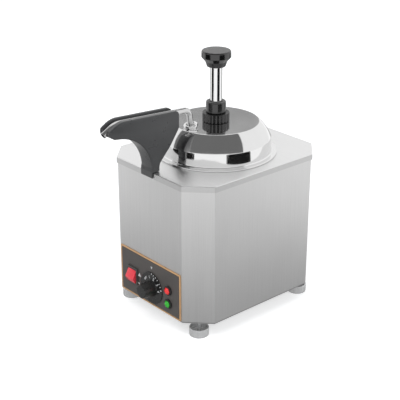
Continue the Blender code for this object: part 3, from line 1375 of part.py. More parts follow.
def build_plunger(parent):
    """The pieces that move down with the knob; the parent sits at the knob's bottom."""
    wall = SLEEVE_RADIUS - PLUNGER_WALL
    foot = PLUNGER_BOTTOM - KNOB_BOTTOM
    sleeve = [
        (wall, foot),
        (CYLINDER_BORE - RUNNING_GAP, foot),
        (CYLINDER_BORE - RUNNING_GAP, foot + PLUNGER_FOOT),
        (SLEEVE_RADIUS, foot + PLUNGER_FOOT),
        (SLEEVE_RADIUS, KNOB_SOCKET - GAP),
        (wall, KNOB_SOCKET - GAP),
    ]
    solid("plunger_sleeve", turned(sleeve, MID_ROUND), POLISHED, parent)
    bottom = PISTON_BOTTOM - KNOB_BOTTOM
    head = ROD_RADIUS + PISTON_GROOVE_DEPTH
    stem = [
        (0, bottom - GAP - PISTON_GROOVE_DEPTH),
        (head, bottom - GAP - PISTON_GROOVE_DEPTH),
        (head, bottom - GAP),
        (ROD_RADIUS, bottom - GAP),
        (ROD_RADIUS, KNOB_SOCKET + ROD_SOCKET - GAP),
        (0, KNOB_SOCKET + ROD_SOCKET - GAP),
    ]
    solid("piston_rod", turned(stem, SMALL_ROUND), PLAIN_STEEL, parent)
    outer = CHAMBER_RADIUS - RUNNING_GAP
    inner = outer - PISTON_GROOVE_DEPTH
    bore = ROD_RADIUS + GAP
    middle = bottom + PISTON_HEIGHT / 2
    groove_low, groove_high = middle - PISTON_GROOVE / 2, middle + PISTON_GROOVE / 2
    piston = [
        (bore, bottom),
        (outer, bottom),
        (outer, groove_low),
        (inner, groove_low),
        (inner, groove_high),
        (outer, groove_high),
        (outer, bottom + PISTON_HEIGHT),
        (bore, bottom + PISTON_HEIGHT),
    ]
    solid("piston", turned(piston, SMALL_ROUND), WHITE_PLASTIC, parent)
    seal = [
        (inner + GAP, groove_low + GAP),
        (CHAMBER_RADIUS - GAP, groove_low + GAP),
        (CHAMBER_RADIUS - GAP, groove_high - GAP),
        (inner + GAP, groove_high - GAP),
    ]
    solid("piston_seal", turned(seal, SMALL_ROUND), SILICONE, parent)
    socket, screw_bore = SLEEVE_RADIUS + GAP, ROD_RADIUS + GAP
    knob = rounded(
        [
            (socket, 0),
            (KNOB_NECK_RADIUS, 0, KNOB_EDGE),
            (KNOB_WAIST_RADIUS, KNOB_WAIST_RISE, KNOB_WAIST_RADIUS - KNOB_NECK_RADIUS),
            (KNOB_RADIUS, KNOB_SHOULDER_RISE, KNOB_EDGE / 2),
            (KNOB_RADIUS, KNOB_HEIGHT, KNOB_EDGE),
            (0, KNOB_HEIGHT),
            (0, KNOB_SOCKET + ROD_SOCKET),
            (screw_bore, KNOB_SOCKET + ROD_SOCKET),
            (screw_bore, KNOB_SOCKET),
            (socket, KNOB_SOCKET),
        ]
    )
    solid("pump_knob", turned(knob, MID_ROUND), BLACK_PLASTIC, parent)


def empty(name, parent, matrix=None, location=(0, 0, 0)):
    """An empty that carries the pieces of one moving group."""
    item = bpy.data.objects.new(name, None)
    bpy.context.scene.collection.objects.link(item)
    item.parent = parent
    if matrix is None:
        item.location = location
    else:
        item.matrix_local = matrix
    return item


def centre_on_floor(root):
    """Moves the assembly until its bounding box is centred on the origin."""
    bpy.context.view_layer.update()
    graph = bpy.context.evaluated_depsgraph_get()
    spots = []
    for item in bpy.context.scene.objects:
        if item.type == "EMPTY" or item.hide_render:
            continue
        mesh = item.evaluated_get(graph).to_mesh()
        spots += [item.matrix_world @ vert.co for vert in mesh.vertices]
        item.evaluated_get(graph).to_mesh_clear()
    for axis in (0, 1):
        values = [spot[axis] for spot in spots]
        root.location[axis] = -(min(values) + max(values)) / 2
    bpy.context.view_layer.update()


def build():
    clear_scene()
    cabinet = empty("cabinet", None)
    front = empty("front", cabinet, matrix=front_frame(FRONT_FACE))
    dial_spot = (DIAL_X, DIAL_Z, GAP + PANEL_THICKNESS + DIAL_STANDOFF)
    dial = empty("dial", front, location=dial_spot)
    jar = empty("jar_group", cabinet)
    pump = empty("pump_group", jar)
    plunger = empty("plunger_group", pump, location=(0, 0, KNOB_BOTTOM))
    build_base(cabinet)
    build_shell(cabinet)
    build_deck(cabinet)
    build_well(cabinet)
    build_wiring_parts(cabinet)
    build_panel(front)
    build_thermostat(front, dial)
    build_capillary(cabinet)
    build_spout(cabinet)
    build_feet(cabinet)
    build_jar(jar)
    build_lid(pump)
    ball_z = build_pump_body(pump)
    build_ball(empty("ball_group", pump, location=(0, 0, ball_z)))
    build_spring(pump)
    build_plunger(plunger)
    centre_on_floor(cabinet)


build()
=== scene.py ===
"""Looks of the hot topping warmer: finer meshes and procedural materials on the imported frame.

Metres, +Z up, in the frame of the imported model. The control panel faces -Y.
"""

from math import atan2, cos, pi, radians, sin, tan

import bmesh
import bpy
from mathutils import Matrix, Vector


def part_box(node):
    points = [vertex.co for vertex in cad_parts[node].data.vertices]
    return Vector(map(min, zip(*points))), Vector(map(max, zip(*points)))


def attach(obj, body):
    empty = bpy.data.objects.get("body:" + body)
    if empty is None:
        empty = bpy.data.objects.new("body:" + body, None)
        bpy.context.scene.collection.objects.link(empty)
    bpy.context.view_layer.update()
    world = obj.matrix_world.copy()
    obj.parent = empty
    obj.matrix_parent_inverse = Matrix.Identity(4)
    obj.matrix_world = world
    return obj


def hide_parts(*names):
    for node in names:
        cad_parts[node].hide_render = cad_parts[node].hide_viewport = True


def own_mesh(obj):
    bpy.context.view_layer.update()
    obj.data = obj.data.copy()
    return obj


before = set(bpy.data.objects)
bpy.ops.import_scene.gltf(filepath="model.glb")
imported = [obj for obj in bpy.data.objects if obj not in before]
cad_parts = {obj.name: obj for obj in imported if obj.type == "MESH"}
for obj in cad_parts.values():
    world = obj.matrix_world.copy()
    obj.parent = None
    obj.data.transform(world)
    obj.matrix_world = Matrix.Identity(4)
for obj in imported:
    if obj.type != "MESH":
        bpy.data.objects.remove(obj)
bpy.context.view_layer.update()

MM = 0.001
MID_Y = sum(corner[1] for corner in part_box("jar")) / 2
FRONT_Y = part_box("body_shell")[0][1]
# Stands a flat shape up, its top towards the front
UPRIGHT = Matrix.Rotation(pi / 2, 4, "X")
# Takes an (x, y) outline to (y, z) and its depth to x
SIDEWAYS = Matrix(((0, 0, 1), (1, 0, 0), (0, 1, 0)))


# Mesh helpers
def add_object(name, data):
    item = bpy.data.objects.new(name, data)
    bpy.context.scene.collection.objects.link(item)
    return item


def finish_mesh(name, shape, material, body, stands_for, smooth):
    """Turns a bmesh into a piece that rides on a body and stands for its nodes; smooth is in degrees."""
    bmesh.ops.remove_doubles(shape, verts=shape.verts, dist=1e-6)
    loose = [edge for edge in shape.edges if not edge.link_faces]
    bmesh.ops.delete(shape, geom=loose, context="EDGES")
    bmesh.ops.recalc_face_normals(shape, faces=shape.faces)
    mesh = bpy.data.meshes.new(name)
    shape.to_mesh(mesh)
    shape.free()
    if smooth:
        mesh.shade_smooth()
        mesh.set_sharp_from_angle(angle=radians(smooth))
    mesh.materials.append(material)
    item = add_object(name, mesh)
    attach(item, body)
    if stands_for:
        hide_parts(*stands_for)
    return item


def rounded(corners, steps=6, closed=True):
    """Replaces each (a, b, radius) corner of an outline by an arc; (a, b) corners stay sharp."""
    points = []
    count = len(corners)
    for index, corner in enumerate(corners):
        here = Vector(corner[:2])
        if len(corner) == 2 or corner[2] <= 0 or (not closed and index in (0, count - 1)):
            points.append(tuple(here))
            continue
        before = Vector(corners[index - 1][:2]) - here
        after = Vector(corners[(index + 1) % count][:2]) - here
        turn = before.angle(after)
        reach = min(corner[2] / tan(turn / 2), before.length / 2, after.length / 2)
        radius = reach * tan(turn / 2)
        middle = here + (before.normalized() + after.normalized()).normalized() * radius / sin(turn / 2)
        start = here + before.normalized() * reach - middle
        sweep = start.angle_signed(here + after.normalized() * reach - middle)
        for step in range(steps + 1):
            spoke = start.copy()
            spoke.rotate(Matrix.Rotation(-sweep * step / steps, 2))
            points.append(tuple(middle + spoke))
    return points


def braced(points, edge=0.0004):
    """Adds a point near each end of every long straight run, so that flat walls shade flat."""
    made = []
    for index, start in enumerate(points):
        a, b = Vector(start), Vector(points[(index + 1) % len(points)])
        made.append(tuple(a))
        if (b - a).length > 4 * edge:
            way = (b - a).normalized() * edge
            made += [tuple(a + way), tuple(b - way)]
    return made


def turned(profile, segments, ripple=None):
    """Revolves a closed (radius, height) profile round Z.

    A ripple(angle, radius, height), if given, returns the radius to use there.
    """
    shape = bmesh.new()
    rings = []
    for step in range(segments):
        angle = 2 * pi * step / segments
        ring = []
        for radius, height in profile:
            if ripple:
                radius = ripple(angle, radius, height)
            ring.append(shape.verts.new((radius * cos(angle), radius * sin(angle), height)))
        rings.append(ring)
    count = len(profile)
    for index in range(segments):
        first, second = rings[index - 1], rings[index]
        for k in range(count):
            if profile[k][0] <= 0 and profile[k - 1][0] <= 0:
                continue
            shape.faces.new((first[k - 1], second[k - 1], second[k], first[k]))
    return shape


def stacked(rings, closed=True):
    """Skins a list of rings, each a list of 3-D points of the same count."""
    shape = bmesh.new()
    made = [[shape.verts.new(point) for point in ring] for ring in rings]
    pairs = list(zip(made, made[1:]))
    if closed:
        pairs.append((made[-1], made[0]))
    for first, second in pairs:
        for index in range(len(first)):
            shape.faces.new((first[index - 1], first[index], second[index], second[index - 1]))
    if not closed:
        shape.faces.new(made[0])
        shape.faces.new(made[-1])
    return shape


def pushed(outline, depth, low=0.0):
    """Extrudes a flat (x, y) outline upwards from low by depth."""
    shape = bmesh.new()
    face = shape.faces.new([shape.verts.new((x, y, low)) for x, y in outline])
    grown = bmesh.ops.extrude_face_region(shape, geom=[face])
    top = [piece for piece in grown["geom"] if isinstance(piece, bmesh.types.BMVert)]
    bmesh.ops.translate(shape, verts=top, vec=(0, 0, depth))
    return shape


def moved(shape, offset=(0, 0, 0), turn=None):
    """Turns a bmesh by a matrix about the origin and then shifts it."""
    matrix = Matrix.Translation(offset) @ (turn.to_4x4() if turn else Matrix.Identity(4))
    bmesh.ops.transform(shape, matrix=matrix, verts=shape.verts)
    return shape


def bevelled(shape, width, segments, angle):
    """Bevels every edge sharper than the angle in degrees."""
    bmesh.ops.recalc_face_normals(shape, faces=shape.faces)
    edges = [e for e in shape.edges if len(e.link_faces) == 2 and e.calc_face_angle(0) > radians(angle)]
    bmesh.ops.bevel(
        shape, geom=edges, offset=width, segments=segments, profile=0.5, affect="EDGES", clamp_overlap=True
    )
    return shape


def rod(radius, start, end, segments=48):
    """A solid cylinder between two points."""
    start, end = Vector(start), Vector(end)
    way = end - start
    place = Matrix.Translation((start + end) / 2) @ way.to_track_quat("Z", "Y").to_matrix().to_4x4()
    shape = bmesh.new()
    bmesh.ops.create_cone(
        shape, cap_ends=True, segments=segments, radius1=radius, radius2=radius, depth=way.length,
        matrix=place,
    )
    return shape


def cut(item, shape, operation="DIFFERENCE"):
    """Cuts a shape from a piece or fuses it on, and leaves no modifier or tool behind."""
    bmesh.ops.recalc_face_normals(shape, faces=shape.faces)
    mesh = bpy.data.meshes.new("tool")
    shape.to_mesh(mesh)
    shape.free()
    tool = add_object("tool", mesh)
    tool.matrix_world = item.matrix_world
    step = item.modifiers.new("cut", "BOOLEAN")
    step.operation = operation
    step.object = tool
    bpy.context.view_layer.update()
    graph = bpy.context.evaluated_depsgraph_get()
    result = bpy.data.meshes.new_from_object(item.evaluated_get(graph))
    item.modifiers.clear()
    item.data = result
    bpy.data.objects.remove(tool, do_unlink=True)


def octagon(width, depth, corner, inset, bend):
    """A rectangle with four cut corners, drawn in by inset, its eight folds rounded by bend."""
    half_x = width / 2 - inset
    half_y = depth / 2 - inset
    leg = corner - inset * (2 - 2**0.5)
    spots = [
        (half_x, half_y - leg), (half_x - leg, half_y), (-half_x + leg, half_y), (-half_x, half_y - leg),
        (-half_x, -half_y + leg), (-half_x + leg, -half_y), (half_x - leg, -half_y), (half_x, -half_y + leg),
    ]
    return rounded([(x, y, bend) for x, y in spots], 5)


def rectangle(width, height, corner=0.0):
    """A rectangle about the origin, its corners rounded."""
    half_x, half_y = width / 2, height / 2
    spots = ((half_x, half_y), (-half_x, half_y), (-half_x, -half_y), (half_x, -half_y))
    return rounded([(x, y, corner) for x, y in spots], 4)


def at_height(outline, z):
    """Lifts an (x, y) outline, counted from the jar's axis, to a height."""
    return [(x, y + MID_Y, z) for x, y in outline]


def mm(*corners):
    """Corners given in millimetres."""
    return [tuple(value * MM for value in corner) for corner in corners]


# Materials
class Nodes:
    """Wires one material's nodes."""

    def __init__(self, name):
        self.material = bpy.data.materials.new(name)
        self.material.use_nodes = True
        self.tree = self.material.node_tree
        self.shader = self.tree.nodes["Principled BSDF"]

    def add(self, kind, **settings):
        node = self.tree.nodes.new(kind)
        for key, value in settings.items():
            setattr(node, key, value)
        return node

    def link(self, source, target):
        self.tree.links.new(source, target)

    def set(self, **values):
        for key, value in values.items():
            self.shader.inputs[key.replace("_", " ")].default_value = value

    def place(self, scale):
        """Object coordinates, stretched by scale along each axis."""
        spot = self.add("ShaderNodeTexCoord")
        sized = self.add("ShaderNodeMapping")
        sized.inputs["Scale"].default_value = scale
        self.link(spot.outputs["Object"], sized.inputs["Vector"])
        return sized.outputs["Vector"]

    def noise(self, scale, detail, rough, stretch=(1, 1, 1)):
        grain = self.add("ShaderNodeTexNoise")
        grain.inputs["Scale"].default_value = scale
        grain.inputs["Detail"].default_value = detail
        grain.inputs["Roughness"].default_value = rough
        self.link(self.place(stretch), grain.inputs["Vector"])
        return grain.outputs["Fac"]

    def ramp(self, value, low, high):
        """Maps a noise to a colour between low and high."""
        step = self.add("ShaderNodeValToRGB")
        for element, spot, colour in zip(step.color_ramp.elements, (0.3, 0.7), (low, high)):
            element.position = spot
            element.color = (*colour, 1)
        self.link(value, step.inputs["Fac"])
        return step.outputs["Color"]

    def remap(self, value, limits, **settings):
        """Maps a value by limits, given as (from low, from high, to low, to high)."""
        step = self.add("ShaderNodeMapRange", **settings)
        for socket, limit in zip(("From Min", "From Max", "To Min", "To Max"), limits):
            step.inputs[socket].default_value = limit
        self.link(value, step.inputs["Value"])
        return step.outputs["Result"]

    def spread(self, value, low, high):
        """Maps a noise to a number between low and high."""
        return self.remap(value, (0.25, 0.75, low, high))

    def bump(self, value, strength, distance):
        """Raises the surface by a noise."""
        step = self.add("ShaderNodeBump")
        step.inputs["Strength"].default_value = strength
        step.inputs["Distance"].default_value = distance
        self.link(value, step.inputs["Height"])
        self.link(step.outputs["Normal"], self.shader.inputs["Normal"])


def grey(value):
    return (value, value, value)


def brushed(name, low, high, rough, stretch, strength=0.25, metal=1.0):
    """Steel with a fine grain; stretch is small along the grain."""
    made = Nodes(name)
    grain = made.noise(1.0, 4.0, 0.62, stretch)
    cloud = made.noise(9.0, 2.0, 0.5)
    mix = made.add("ShaderNodeMix", data_type="FLOAT")
    mix.inputs[0].default_value = 0.25
    made.link(grain, mix.inputs[2])
    made.link(cloud, mix.inputs[3])
    made.link(made.ramp(mix.outputs[0], low, high), made.shader.inputs["Base Color"])
    made.link(made.spread(grain, rough - 0.05, rough + 0.07), made.shader.inputs["Roughness"])
    made.bump(grain, strength, 0.00004)
    made.set(Metallic=metal)
    return made.material


def polished(name, colour, rough, haze):
    """Mirror-polished metal with faint buffing haze."""
    made = Nodes(name)
    haze_map = made.noise(26.0, 3.0, 0.55)
    fine = made.noise(900.0, 2.0, 0.5)
    dimmed = tuple(channel * 0.965 for channel in colour)
    made.link(made.ramp(haze_map, dimmed, colour), made.shader.inputs["Base Color"])
    made.link(made.spread(haze_map, rough, rough + haze), made.shader.inputs["Roughness"])
    made.bump(fine, 0.03, 0.00001)
    made.set(Metallic=1.0)
    return made.material


def moulded(name, low, high, rough, grain=1400.0, strength=0.12, **extra):
    """Moulded plastic or paint with a fine skin and slight wear."""
    made = Nodes(name)
    skin_map = made.noise(grain, 2.0, 0.5)
    cloud = made.noise(60.0, 4.0, 0.6)
    made.link(made.ramp(cloud, low, high), made.shader.inputs["Base Color"])
    made.link(made.spread(cloud, rough - 0.05, rough + 0.06), made.shader.inputs["Roughness"])
    made.bump(skin_map, strength, 0.00003)
    made.set(**extra)
    return made.material


STEEL_V = brushed("steel_vertical_grain", grey(0.63), grey(0.73), 0.36, (2200, 2200, 9))
STEEL_DECK = brushed("steel_deck", grey(0.78), grey(0.86), 0.36, (26, 1900, 1900), 0.04)
# A darker copy of the deck's steel for its upright lip: painted shade
STEEL_LIP_PAINTED_SHADE = brushed("steel_lip_painted_shade", grey(0.54), grey(0.62), 0.36, (26, 1900, 1900), 0.04)
STEEL_PLAIN = brushed("steel_plain", grey(0.44), grey(0.56), 0.42, (160, 160, 160), 0.12)
STEEL_FEET = brushed("steel_feet", grey(0.70), grey(0.84), 0.22, (900, 900, 20), 0.06, 0.6)
STEEL_JAR = brushed("steel_jar", grey(0.55), grey(0.66), 0.30, (60, 60, 1800), 0.15)
CHROME = polished("chrome", grey(0.80), 0.065, 0.03)
CHROME_TUBE = polished("chrome_tube", grey(0.86), 0.05, 0.02)
# The discharge tube's chrome, darker than the sleeve's: painted shade for the dark surroundings that it
# reflects
CHROME_PIPE_PAINTED_SHADE = polished("chrome_pipe_painted_shade", grey(0.66), 0.07, 0.03)
ALUMINIUM = brushed("aluminium", grey(0.55), grey(0.68), 0.38, (900, 20, 900), 0.2)
COPPER = brushed("copper", (0.42, 0.17, 0.08), (0.62, 0.30, 0.16), 0.35, (300, 300, 300), 0.15)
BRASS = brushed("brass", (0.48, 0.33, 0.10), (0.62, 0.46, 0.18), 0.33, (400, 400, 400), 0.15)
BLACK = moulded("black_plastic", grey(0.010), grey(0.016), 0.42)
BLACK_GLOSS = moulded("black_gloss", grey(0.004), grey(0.006), 0.14, strength=0.04, Specular_IOR_Level=0.9)
COAT = moulded(
    "dark_coat", (0.027, 0.028, 0.030), (0.032, 0.033, 0.035), 0.30, strength=0.05, Specular_IOR_Level=0.7
)
FILM = moulded("panel_film", (0.084, 0.075, 0.070), (0.098, 0.088, 0.082), 0.46)
BORDER = moulded("panel_border", (0.62, 0.36, 0.17), (0.70, 0.42, 0.21), 0.42)
LINE = moulded("panel_line", (0.105, 0.060, 0.032), (0.13, 0.075, 0.042), 0.42)
BEZEL = moulded("switch_bezel", (0.066, 0.068, 0.065), (0.080, 0.082, 0.078), 0.38)
DIAL = moulded("dial_black", grey(0.008), grey(0.013), 0.26, strength=0.06, Specular_IOR_Level=0.7)
MARKS = moulded("printed_white", grey(0.74), grey(0.82), 0.5)
RED_SWITCH = moulded("red_switch", (0.92, 0.050, 0.075), (0.98, 0.070, 0.095), 0.24, strength=0.05)
RED_LENS = moulded(
    "red_lens", (0.70, 0.008, 0.010), (0.86, 0.016, 0.016), 0.14, 500.0, 0.02,
    Emission_Color=(1.0, 0.015, 0.015, 1), Emission_Strength=0.26, Coat_Weight=0.6,
)
GREEN_LENS = moulded(
    "green_lens", (0.008, 0.30, 0.008), (0.014, 0.42, 0.014), 0.14, 500.0, 0.02,
    Emission_Color=(0.01, 1.0, 0.01, 1), Emission_Strength=0.12, Coat_Weight=0.4,
)
RED_RIM = moulded(
    "red_lens_rim", (0.085, 0.002, 0.003), (0.13, 0.003, 0.004), 0.2, 500.0, 0.02, Coat_Weight=0.4
)
GREEN_RIM = moulded(
    "green_lens_rim", (0.002, 0.050, 0.004), (0.004, 0.085, 0.006), 0.2, 500.0, 0.02, Coat_Weight=0.4
)
NYLON = moulded("natural_nylon", grey(0.62), grey(0.70), 0.45)
SILICONE = moulded("silicone", (0.40, 0.10, 0.045), (0.52, 0.14, 0.06), 0.6)
WOOL = moulded("glass_wool", (0.55, 0.50, 0.34), (0.80, 0.74, 0.55), 0.92, 400.0, 0.6)


# Cabinet
DECK_WIDTH, DECK_DEPTH, CORNER_CUT = 220 * MM, 266 * MM, 34.3 * MM
DECK_TOP, DECK_LOW = 247.5 * MM, 238.5 * MM
SHEET = 1.0 * MM
SHELL_WIDTH, SHELL_DEPTH = DECK_WIDTH - 2.6 * MM, DECK_DEPTH - 2.6 * MM
# Centres of the controls on the front, in x and z
SWITCH_X, SWITCH_Z = -42 * MM, 61 * MM
DIAL_X, DIAL_Z = 4.3 * MM, 57 * MM
LAMP_X, RED_LAMP_Z, GREEN_LAMP_Z = 44.3 * MM, 68.4 * MM, 46.0 * MM


def build_shell():
    """The folded cabinet, with the holes for the gland, switch, dial and lamps."""
    low, high = 26.8 * MM, 246.2 * MM
    bend, edge, flange = 1.6 * MM, 0.4 * MM, 12 * MM

    def ring(inset, z):
        return at_height(octagon(SHELL_WIDTH, SHELL_DEPTH, CORNER_CUT, inset, bend), z)

    rings = [
        ring(0, low + edge), ring(0, high), ring(SHEET, high), ring(SHEET, low + SHEET),
        ring(flange, low + SHEET), ring(flange, low), ring(edge, low),
    ]
    shell = finish_mesh("shell", stacked(rings), STEEL_V, "cabinet", ("body_shell",), 40)
    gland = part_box("gland_nut")
    x = (gland[0][0] + gland[1][0]) / 2
    z = (gland[0][2] + gland[1][2]) / 2
    rear = MID_Y + SHELL_DEPTH / 2
    cut(shell, rod(8.8 * MM, (x, rear - 5 * MM, z), (x, rear + 5 * MM, z)))
    reach = 6 * MM
    window = moved(pushed(rectangle(22.9 * MM, 26.4 * MM), 2 * reach, -reach), (SWITCH_X, SWITCH_Z, 0))
    round_holes = (
        (5.1 * MM, DIAL_X, DIAL_Z), (6.3 * MM, LAMP_X, RED_LAMP_Z), (6.3 * MM, LAMP_X, GREEN_LAMP_Z),
    )
    holes = [window, *(rod(radius, (x, z, -reach), (x, z, reach)) for radius, x, z in round_holes)]
    for hole in holes:
        cut(shell, moved(hole, (0, FRONT_Y, 0), UPRIGHT))


def build_deck():
    """The deck with its round hole and its turned-down lip, which has painted shade: it takes a darker copy
    of the deck's steel.
    """
    bend, radius = 1.9 * MM, 1.3 * MM

    def ring(inset, z):
        fold = bend + SHEET - min(inset, SHEET)
        return at_height(octagon(DECK_WIDTH, DECK_DEPTH, CORNER_CUT, inset, fold), z)

    rings = [
        ring(SHEET, DECK_TOP - SHEET), ring(SHEET, DECK_LOW), ring(0, DECK_LOW),
        ring(0, DECK_TOP - radius - 0.3 * MM),
    ]
    for step in range(5):
        angle = pi / 2 * step / 4
        rings.append(ring(radius * (1 - cos(angle)), DECK_TOP - radius + radius * sin(angle)))
    rings.append(ring(radius + 0.4 * MM, DECK_TOP))
    shape = stacked(rings, closed=False)
    deck = finish_mesh("deck", shape, STEEL_DECK, "cabinet", ("top_deck",), 40)
    cut(deck, rod(79.5 * MM, (0, MID_Y, DECK_LOW - SHEET), (0, MID_Y, DECK_TOP + SHEET), 128))
    # Upright faces take the darker copy of the steel: painted shade on the lip
    deck.data.materials.append(STEEL_LIP_PAINTED_SHADE)
    for face in deck.data.polygons:
        if abs(face.normal.z) < 0.4:
            face.material_index = 1


def round_piece(
    name, corners, material, body, stands_for, segments=128, steps=6, spot=(0, MID_Y, 0),
    ripple=None, turn=None, smooth=38,
):
    """A turned piece with filleted corners, on the jar's axis unless a spot is given."""
    profile = braced(rounded(corners, steps))
    shape = moved(turned(profile, segments, ripple), spot, turn)
    return finish_mesh(name, shape, material, body, stands_for, smooth)


def build_well_and_jar():
    """The heated well on its flange and the product jar that hangs in it."""
    round_piece(
        "well_pot",
        mm(
            (0, 45), (78.5, 45, 10), (78.5, 247.8), (89, 247.8), (89, 248.8, 0.3), (77.5, 248.8),
            (77.5, 46, 9), (0, 46),
        ),
        STEEL_PLAIN, "cabinet", ("well",),
    )
    round_piece(
        "jar_pot",
        mm(
            (0, 48.5), (74.5, 48.5, 9), (74.5, 249.1), (80.5, 249.1), (80.5, 250.5, 0.5), (73.7, 250.5, 1.4),
            (73.7, 49.3, 8.2), (0, 49.3),
        ),
        STEEL_JAR, "product_jar", ("jar",),
    )


def bulged(start, end, rise):
    """Corners of a shallow arc between two points that rises outwards by rise at its middle."""
    a, b = Vector(start), Vector(end)
    side = Vector((b - a).yx) * Vector((1, -1))
    side.normalize()
    spots = []
    steps = 24
    for step in range(1, steps):
        share = step / steps
        spots.append(tuple(a.lerp(b, share) + side * 4 * rise * share * (1 - share)))
    return spots


# Where the discharge tube comes out of the lid, counted from the jar's axis
TUBE_EXIT_Y = -49.5 * MM
LID_TOP = 295.4 * MM


def build_lid():
    """The sheet lid with a slight crown on its cone, and the dished ferrule round the tube."""
    crown = bulged((84.0, 271.3), (66.3, 295.4), 1.5)
    lid = round_piece(
        "lid_sheet",
        mm(
            (12.4, 295.4), (12.4, 294.4), (65.8, 294.4, 2), (83.0, 270.9, 2), (84.5, 249.1), (92.5, 249.1),
            (92.5, 247.8), (93.5, 247.8), (93.5, 250.1, 1.0), (85.5, 250.1, 1.8), (84.0, 271.3, 2.0), *crown,
            (66.3, 295.4, 1.8),
        ),
        CHROME, "pump_lid", ("lid",), 192, 8,
    )
    y = MID_Y + TUBE_EXIT_Y
    cut(lid, rod(5.4 * MM, (0, y, 290 * MM), (0, y, 300 * MM)))
    round_piece(
        "ferrule_seat", mm((5.8, 295.6), (9.0, 295.6), (9.0, 297.6, 0.6), (5.8, 297.6)),
        CHROME, "pump_lid", (), 64, 4, (0, y, 0),
    )
    round_piece(
        "ferrule",
        mm(
            (5.5, -1.6), (8.2, -1.6), (8.2, 0), (10.8, 0, 0.7), (10.8, 2.9, 1.4), (9.0, 3.7, 0.9),
            (7.3, 3.4, 0.6), (5.5, 0.6),
        ),
        CHROME, "pump_lid", ("tube_ferrule",), 64, 6, (0, y - 0.3 * MM, 297.5 * MM),
        turn=Matrix.Rotation(radians(8.7), 3, "X"),
    )


def ridges(count, depth, outer, low, high):
    """A ripple that cuts upright grooves into the outside of a turned piece."""

    def ripple(angle, radius, height):
        if radius < outer - 2.5 * depth or not low <= height <= high:
            return radius
        groove = (0.5 + 0.5 * cos(count * angle)) ** 1.6
        return radius - depth * groove

    return ripple


def build_pump_head():
    """The nut, collar, plunger tube and knob, from the lid up."""
    flutes = 22
    round_piece(
        "grip_nut",
        mm(
            (12.3, 295.7), (20.7, 295.7, 1.0), (20.7, 297.2), (20.7, 307.2), (20.7, 309.1, 1.5),
            (12.3, 309.1),
        ),
        BLACK_GLOSS, "pump_lid", ("knurled_nut",), flutes * 16, 4,
        ripple=ridges(flutes, 2.2 * MM, 20.7 * MM, 296.2 * MM, 308.9 * MM), smooth=30,
    )
    round_piece(
        "guide_collar",
        mm(
            (9.4, 302.3), (10.7, 302.3), (10.7, 309.4), (15.1, 309.4, 0.6), (15.1, 326.5, 2.8),
            (11.4, 326.5, 0.5), (9.9, 325.0), (9.4, 325.0),
        ),
        BLACK_GLOSS, "pump_lid", ("lock_collar",),
    )
    round_piece(
        "plunger_tube",
        mm((7.9, 300.0), (10.6, 300.0), (10.6, 302.0), (9.1, 302.0), (9.1, 390.6), (7.9, 390.6)),
        CHROME_TUBE, "plunger", ("plunger_sleeve",),
    )
    round_piece(
        "push_knob",
        mm(
            (9.4, 379.9), (13.8, 379.9, 1.5), (16.5, 387.9, 2.7), (22.2, 394.3, 1.0), (22.2, 404.4, 2.2),
            (0, 404.4), (0, 395.9), (3.3, 395.9), (3.3, 390.9), (9.4, 390.9),
        ),
        BLACK_GLOSS, "plunger", ("pump_knob",),
    )


def build_spring():
    """The return spring, a coil over the height of the spring's node."""
    low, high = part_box("return_spring")
    wire = 0.6 * MM
    radius = (high[0] - low[0]) / 2 - wire
    turns, around = 8, 10
    count = turns * 32
    sides = [2 * pi * k / around for k in range(around)]
    rings = []
    for index in range(count + 1):
        share = index / count
        out = Vector((cos(2 * turns * pi * share), sin(2 * turns * pi * share), 0))
        here = Vector((0, MID_Y, low[2] + wire + (high[2] - low[2] - 2 * wire) * share)) + out * radius
        rings.append([here + out * wire * cos(a) + Vector((0, 0, wire * sin(a))) for a in sides])
    coil = stacked(rings, closed=False)
    coil = finish_mesh("pump_spring", coil, STEEL_PLAIN, "pump_lid", ("return_spring",), 50)
    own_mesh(coil)


# Tube and spout, in (y, z) with y counted from the jar's axis
REAR_Y, BEND_Y = -82.5 * MM, -188 * MM
RAIL_RISE = tan(radians(3.4))
TUBE_R, TUBE_SUNK, SLOT_PLAY = 4.6 * MM, 1.5 * MM, 0.3 * MM
NOSE_ANGLE = radians(30)


def rail(y):
    """Height of the spout's top edge, which rises towards its front."""
    return 331.7 * MM + (REAR_Y - y) * RAIL_RISE


def tube_path():
    """The tube's middle line: up from the pump, over the spout and down at its nose."""
    start_y, start_z = -25.9 * MM, 141.4 * MM
    lean = (start_y - TUBE_EXIT_Y) / (LID_TOP - start_z)
    level = rail(TUBE_EXIT_Y) - TUBE_SUNK - TUBE_R
    rise = (level - LID_TOP) / (1 - lean * RAIL_RISE)
    nose_y, end_y = -188.8 * MM, -209.5 * MM
    nose_z = rail(nose_y) - TUBE_SUNK - TUBE_R
    return rounded(
        [
            (start_y, start_z),
            (TUBE_EXIT_Y - rise * lean, LID_TOP + rise, 11 * MM),
            (nose_y, nose_z, 28 * MM),
            (end_y, nose_z - (nose_y - end_y) * tan(NOSE_ANGLE)),
        ],
        10, closed=False,
    )


def pipe(points, outer, inner, segments):
    """A hollow pipe along (y, z) points."""
    across = Vector((1, 0, 0))
    angles = [2 * pi * k / segments for k in range(segments)]
    stations = [Vector((0, y + MID_Y, z)) for y, z in points]
    last = len(stations) - 1
    loops = []
    for radius in (outer, inner):
        rings = []
        for index, here in enumerate(stations):
            ahead = (stations[min(index + 1, last)] - stations[min(index, last - 1)]).normalized()
            behind = (stations[max(index, 1)] - stations[max(index - 1, 0)]).normalized()
            way = (ahead + behind).normalized()
            side = way.cross(across) / way.dot(ahead)
            rings.append([here + across * radius * cos(a) + side * radius * sin(a) for a in angles])
        loops.append(rings)
    return stacked(loops[0] + loops[1][::-1])


